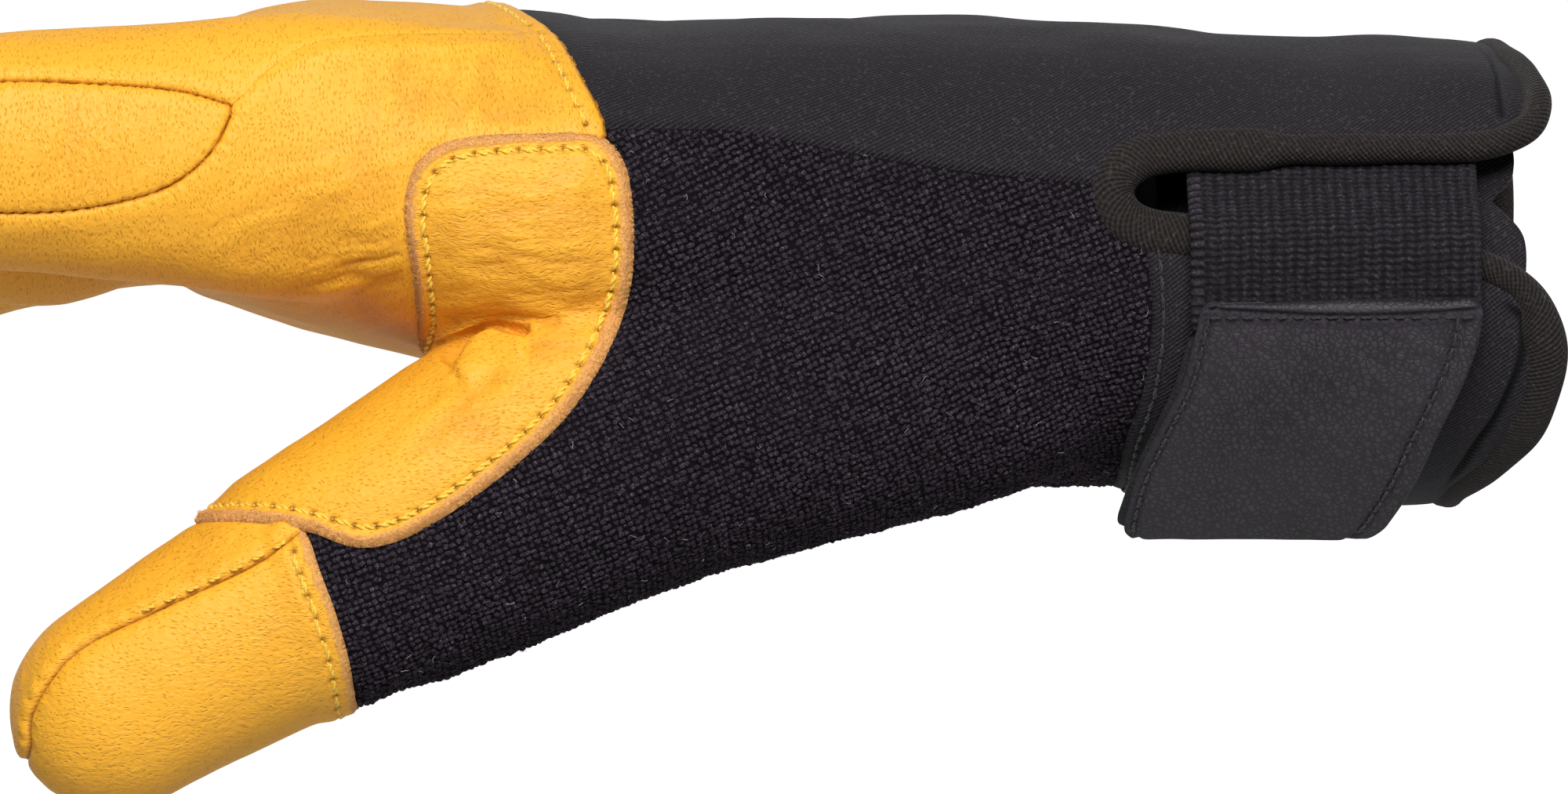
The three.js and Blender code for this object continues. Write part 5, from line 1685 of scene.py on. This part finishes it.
def nap_hairs(name, points, tris, normals, share, material, slot, count, long, thick, seed):
    """Short loose fibres that stand out of a surface, each a thin spike."""
    roots, ways, random = scattered(points, tris, normals, share, count, seed)
    ways = unit(ways + random.normal(0, 0.55, roots.shape))
    side = unit(np.cross(ways, random.normal(size=roots.shape)))
    other = np.cross(ways, side)
    tall = long * random.uniform(0.4, 1.0, (count, 1))
    base = [roots - ways * 0.05 + thick * (side * math.cos(t) + other * math.sin(t)) for t in (0, 2.1, 4.2)]
    everything = np.stack(base + [roots + ways * tall], 1).reshape(-1, 3)
    faces = np.array([(0, 1, 3), (1, 2, 3), (2, 0, 3), (0, 2, 1)])
    return piece(name, everything, copies(faces, count, 4), [material], slot)


def lint_threads(skin, count=70):
    """Pale curly bits of lint that cling to the terry."""
    outer_p, tris, outer_n = skin["made"]["terry_panel"][:3]
    roots, ways, random = scattered(outer_p, tris, outer_n, ramp(-outer_n[:, 1], -0.2, 0.3), count, 19)
    shapes = []
    for root, way in zip(roots, ways):
        heading = unit(np.cross(way, random.normal(size=3)))
        line = [root + way * 0.45]
        for _ in range(7):
            heading = unit(heading + random.normal(0, 0.55, 3))
            heading = unit(heading - way * (heading @ way) * 0.8)
            line.append(line[-1] + heading * random.uniform(0.05, 0.2))
        line = np.array(line)
        along = unit(np.gradient(line, axis=0))
        across = unit(np.cross(along, way))
        thick = np.full(len(line), 0.014 + 0.012 * random.random())
        shapes.append(skinned(ovals(line, across, np.cross(along, across), thick, thick, 2, 3)))
    return piece("terry_lint", *joined(shapes), [lint()], "terry")


class GLOVE_OT_softshell(bpy.types.Operator):
    """Sew the softshell of the back and of the cuff's lower flap."""
    bl_idname = "glove.softshell"
    bl_label = "Softshell"

    def execute(self, context):
        for name in ("back_softshell", "cuff_palm"):
            shown, pattern, threads = sewn_up(name, softshell(), "softshell", "welt", black_thread(),
                                              sizes("thread") / 3, pitch=2.0, cloth=True)
        return {"FINISHED"}


class GLOVE_OT_binding(bpy.types.Operator):
    """Sew the stuffed binding round the mouth and the slit."""
    bl_idname = "glove.binding"
    bl_label = "Binding"

    def execute(self, context):
        route = resampled(curved(binding_route(), 0.4), 0.55)
        along = unit(np.gradient(route, axis=0))
        across = unit(np.cross(along, route * (0, 1, 1)))
        up = np.cross(across, along)
        run = run_of(route)
        radius = sizes("binding") * (1 + 0.035 * np.sin(run / 5.3) + 0.03 * np.sin(run / 2.1 + 1))
        sides = 22
        # Round the end of the slit the strip lies flatter and wider.
        turn = ramp(route[:, 0], -30.5, -36.0) * (route[:, 1] < 0)
        # On the lower flap its sewn wing lies flat beside the roll, and its ends are pressed thin.
        wing = (route[:, 1] < 0) * ramp(route[:, 2], -1.5, -7) * ramp(route[:, 2], -27.2, -23)
        ends = 0.4 * (ramp(run, 7, 0) + ramp(run, run[-1] - 7, run[-1]))
        middle = route - across * np.sign(across[:, :1]) * (0.95 * wing)[:, None] + (0, 0, 1) * ends[:, None]
        points, tris = skinned(ovals(middle, across, up, radius * (1 + 0.5 * turn + 0.5 * wing - ends),
                                     radius * (1 + 0.1 * turn - ends), 2.2, sides))
        angle = np.linspace(0, 2 * np.pi * sizes("binding"), sides, endpoint=False)
        flat = np.stack(np.meshgrid(run, angle, indexing="ij") + [np.zeros((len(run), sides))], -1)
        flat = np.vstack([flat.reshape(-1, 3), [flat[0, 0]], [flat[-1, 0]]]) * MM
        shown = piece("cuff_binding_sewn", points, tris, [binding_twill()], "twill", flat=flat)
        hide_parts("cuff_binding")
        return {"FINISHED"}


class GLOVE_OT_gusset(bpy.types.Operator):
    """Fold the gusset behind the slit."""
    bl_idname = "glove.gusset"
    bl_label = "Gusset"

    def execute(self, context):
        grid, inward = sheet_grid(GUSSET, 60, 70)
        u, v, right, _ = grid_measures(grid)
        grid = grid + inward * (5.0 * ramp(u, 9, 1))[..., None]
        height = 0.25 * noise(grid.reshape(-1, 3), 9.0, 31).reshape(u.shape)
        height *= ramp(np.minimum(u, right), 0, 3)
        flat = np.stack([u, v, 0 * u], -1) * MM
        shown = sheet_piece("slit_gusset", grid, inward, sizes("gusset"), height, softshell(), "softshell",
                            flat=flat)
        return {"FINISHED"}


# Spacing of the elastic's ribs, of its rows and of the rows of its selvedge, and the selvedge's width.
RIBS, ROWS, SELVEDGE_ROWS, SELVEDGE = 1.3, 0.83, 1.15, 1.7


def waves(run, pitch):
    """Waves from 0 to 1."""
    return 0.5 + 0.5 * np.cos(2 * np.pi * run / pitch)


class GLOVE_OT_strap(bpy.types.Operator):
    """Weave the elastic strap across the slit."""
    bl_idname = "glove.strap"
    bl_label = "Elastic strap"

    def execute(self, context):
        grid, inward = sheet_grid(STRAP, 140, 115)
        u, v, right, _ = grid_measures(grid)
        place = grid.reshape(-1, 3)
        sway = [0.12 * noise(place, 2.2, seed).reshape(u.shape) for seed in (41, 42)]
        columns = waves(u + sway[0], RIBS)
        rows = waves(v + sway[1] + 0.12 * (np.floor(u / RIBS) % 2), ROWS)
        # The yarn's height also paints the elastic: painted shade in its valleys and lighter painted tops.
        yarn = rows ** 0.7 * (0.3 + 0.7 * columns ** 0.7)
        yarn *= 0.85 + 0.3 * noise(place, 0.8, 43).reshape(u.shape)
        selvedge = waves(v, SELVEDGE_ROWS) * ramp(u, SELVEDGE + 0.05, SELVEDGE - 0.15)
        yarn = np.where(u < SELVEDGE, selvedge, yarn)
        yarn = np.where(right < 0.9, 0.2 + 0.6 * waves(v, ROWS), yarn)
        edge = np.minimum(np.minimum(u, right), 1.0)
        height = 0.42 * yarn - 0.12 - 0.5 * (1 - np.sqrt(np.clip(edge / 0.9, 0, 1)))
        shown = sheet_piece("strap_elastic", grid, inward, sizes("strap") * 0.8, height, woven_elastic(),
                            "elastic", yarn=yarn)
        return {"FINISHED"}


# The tab's stitches: their length, and how far their lines lie from the right, left and top edges.
TAB_STITCH, FROM_RIGHT, FROM_LEFT, FROM_TOP = 1.9, 2.8, 1.1, 1.5


class GLOVE_OT_tab(bpy.types.Operator):
    """Sew the leather tab over the end of the strap, with its hook pad."""
    bl_idname = "glove.tab"
    bl_label = "Tab and hook pad"

    def execute(self, context):
        grid, inward = sheet_grid(TAB, 116, 106, soften=7.0, corner=1.6)
        u, v, right, below = grid_measures(grid)
        place = grid.reshape(-1, 3)
        edge = np.minimum.reduce([u, right, v, below])
        height = 0.35 * np.sqrt(np.clip(edge / 0.6, 0, 1)) - 0.35
        # The lines of stitches sink in, and the leather swells between them.
        height -= 0.28 * np.maximum(bell(right, FROM_RIGHT, 0.45) * ramp(v, 1.5, 2.5),
                                    bell(u, FROM_LEFT, 0.4))
        height += 0.16 * ramp(right, 2.4, 4.2) * ramp(u, 0.8, 2.6)
        q = place @ np.array([[0.6, 0, 0.8], [0, 1, 0], [-0.8, 0, 0.6]])
        folds = np.abs(noise(q / (3.5, 1, 1), 1.5, 51)).reshape(u.shape)
        height += 0.2 * (folds - 0.5) * ramp(edge, 0.5, 3) + 0.12 * noise(place, 4.0, 52).reshape(u.shape)
        # The turned top edge: a roll, the groove of its stitches and a smaller roll.
        for rise, at, width in ((0.30, 0.8, 0.5), (-0.25, FROM_TOP, 0.3), (0.18, 2.3, 0.6)):
            height += rise * bell(v, at, width)
        fuzz = np.maximum(ramp(v, 3.6, 2.2) * ramp(v, 0.3, 1.6), ramp(u, 0.75, 0.4) * 0.8)
        shown = sheet_piece("strap_tab", grid, inward, sizes("tab") * 0.8, height, black_leather(),
                            "black_leather", fuzz=fuzz)
        rows = [self.track(grid, inward, v, np.abs(run - inset))
                for run, inset in ((right, FROM_RIGHT), (u, FROM_LEFT))]
        ridge = np.argmin(np.abs(v[:, 60] - FROM_TOP))
        rows.append(((grid[ridge] - inward[ridge] * 0.3)[3:-3], -inward[6, 3:-3]))
        starts, ends, ways = [], [], []
        for line, way in rows:
            marks = resampled(line, TAB_STITCH)
            middle = way[np.linspace(0, len(way) - 1, len(marks)).astype(int)]
            for a, b, n in zip(marks[:-1], marks[1:], middle):
                starts.append(a + (b - a) * 0.1)
                ends.append(b - (b - a) * 0.1)
                ways.append(unit(n))
        shape = thread_shape(np.array(starts), np.array(ends), np.array(ways), 0.2, 0.2)
        threads = piece("tab_stitches", *shape, [black_thread()], "black_leather")
        self.hook_pad()
        return {"FINISHED"}

    def track(self, grid, inward, v, gap):
        """Points of a stitch line beside an edge of the tab, where the gap to the line is least."""
        rows = np.arange(int(np.argmax(v[:, 0] > 2.4)), grid.shape[0] - 4)
        column = gap.argmin(axis=1)[rows]
        return grid[rows, column] + inward[rows, column] * 0.1, -inward[rows, column]

    def hook_pad(self):
        grid, inward = sheet_grid(HOOK_PAD, 50, 40, soften=7.0, corner=1.4)
        edge = np.minimum.reduce(grid_measures(grid))
        height = 0.3 * np.sqrt(np.clip(edge / 0.6, 0, 1)) - 0.35
        height += 0.12 * noise(grid.reshape(-1, 3), 0.7, 61).reshape(edge.shape)
        shown = sheet_piece("hook_pad", grid, inward, sizes("pad") * 0.8, height, hook_tape(), "hook_tape")


# The stage, in metres. Lamps: name, place, size, power in watts.
LAMPS = (
    ("key", (-0.2, -1.2, 0.75), 0.7, 19.8), ("top", (0.15, 0.35, 1.2), 1.0, 0.7),
    ("fill", (0.35, -1.4, 0.75), 0.4, 10.5),
)
LAMPS_AIM = Vector((-0.1, 0, -0.01))
WORLD_LIGHT, WALL_GLOW = 0.13, 0.75
CAMERA_PLACE, LENS_MM, SENSOR_MM, CAMERA_REACH = (-0.0912, -1.5, -0.01534), 284.2, 36.0, 20.0
# The paper roll: its sides, its front end (y, z), the radius of its bend, and its top end.
ROLL_SIDES, ROLL_FRONT, ROLL_BEND, ROLL_TOP = (-5.1, 4.9), (-4.5, -1.0), 0.5, (5.0, 4.2)


class GLOVE_OT_stage(bpy.types.Operator):
    """Set the paper roll, the lights and the camera."""
    bl_idname = "glove.stage"
    bl_label = "Stage"

    def execute(self, context):
        scene = context.scene
        turn = np.radians(np.arange(0, 91, 10))
        bend = [ROLL_FRONT, *zip(ROLL_TOP[0] - ROLL_BEND * (1 - np.sin(turn)),
                                 ROLL_FRONT[1] + ROLL_BEND * (1 - np.cos(turn))), ROLL_TOP]
        points = np.array([(x, y, z) for y, z in bend for x in ROLL_SIDES]) / MM
        tris = np.array([t for i in range(0, 2 * len(bend) - 2, 2)
                         for t in ((i, i + 1, i + 3), (i, i + 3, i + 2))])
        roll = bpy.data.objects.new("stage_roll", mesh_of("stage_roll", points, tris))
        for name, glow in (("paper, matte, floor", 0.0), ("paper, matte, lit wall", WALL_GLOW)):
            roll.data.materials.append(studio_white(name, glow))
        roll.data.polygons.foreach_set("material_index", [min(i // 2, 1) for i in range(len(tris))])
        scene.collection.objects.link(roll)
        for name, place, size, power in LAMPS:
            lamp = bpy.data.lights.new(name, "AREA")
            lamp.size, lamp.energy = size, power
            shown = bpy.data.objects.new(name, lamp)
            shown.location = place
            shown.rotation_euler = (LAMPS_AIM - Vector(place)).to_track_quat("-Z", "Y").to_euler()
            scene.collection.objects.link(shown)
        world = bpy.data.worlds.new("studio")
        world.use_nodes = True
        world.node_tree.nodes["Background"].inputs[0].default_value = (1, 1, 1, 1)
        world.node_tree.nodes["Background"].inputs[1].default_value = WORLD_LIGHT
        scene.world = world
        lens = bpy.data.cameras.new("camera")
        lens.sensor_width, lens.lens, lens.clip_end = SENSOR_MM, LENS_MM, CAMERA_REACH
        camera = bpy.data.objects.new("camera", lens)
        camera.location = CAMERA_PLACE
        camera.rotation_euler = (math.radians(90), 0, 0)
        scene.collection.objects.link(camera)
        scene.camera = camera
        scene.view_settings.view_transform = "Standard"
        return {"FINISHED"}


class GLOVE_PT_panel(bpy.types.Panel):
    bl_idname = "GLOVE_PT_panel"
    bl_label = "Mountaineering glove"
    bl_space_type = "VIEW_3D"
    bl_region_type = "UI"
    bl_category = "Glove"

    def draw(self, context):
        for group in (context.scene.glove_sizes, context.scene.glove_colours):
            for key in group.__annotations__:
                self.layout.prop(group, key)
        for operator in OPERATORS:
            self.layout.operator(operator.bl_idname)


OPERATORS = (
    GLOVE_OT_stage, GLOVE_OT_skin, GLOVE_OT_leather, GLOVE_OT_thumb, GLOVE_OT_terry, GLOVE_OT_softshell,
    GLOVE_OT_binding, GLOVE_OT_gusset, GLOVE_OT_strap, GLOVE_OT_tab,
)


def register():
    for cls in (GloveSizes, GloveColours, *OPERATORS, GLOVE_PT_panel):
        bpy.utils.register_class(cls)
    bpy.types.Scene.glove_sizes = bpy.props.PointerProperty(type=GloveSizes)
    bpy.types.Scene.glove_colours = bpy.props.PointerProperty(type=GloveColours)


def unregister():
    del bpy.types.Scene.glove_sizes
    del bpy.types.Scene.glove_colours
    for cls in (GLOVE_PT_panel, *reversed(OPERATORS), GloveColours, GloveSizes):
        bpy.utils.unregister_class(cls)


def main():
    """Makes the whole glove."""
    register()
    for operator in OPERATORS:
        group, name = operator.bl_idname.split(".")
        getattr(getattr(bpy.ops, group), name)()
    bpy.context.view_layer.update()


if __name__ == "__main__":
    main()
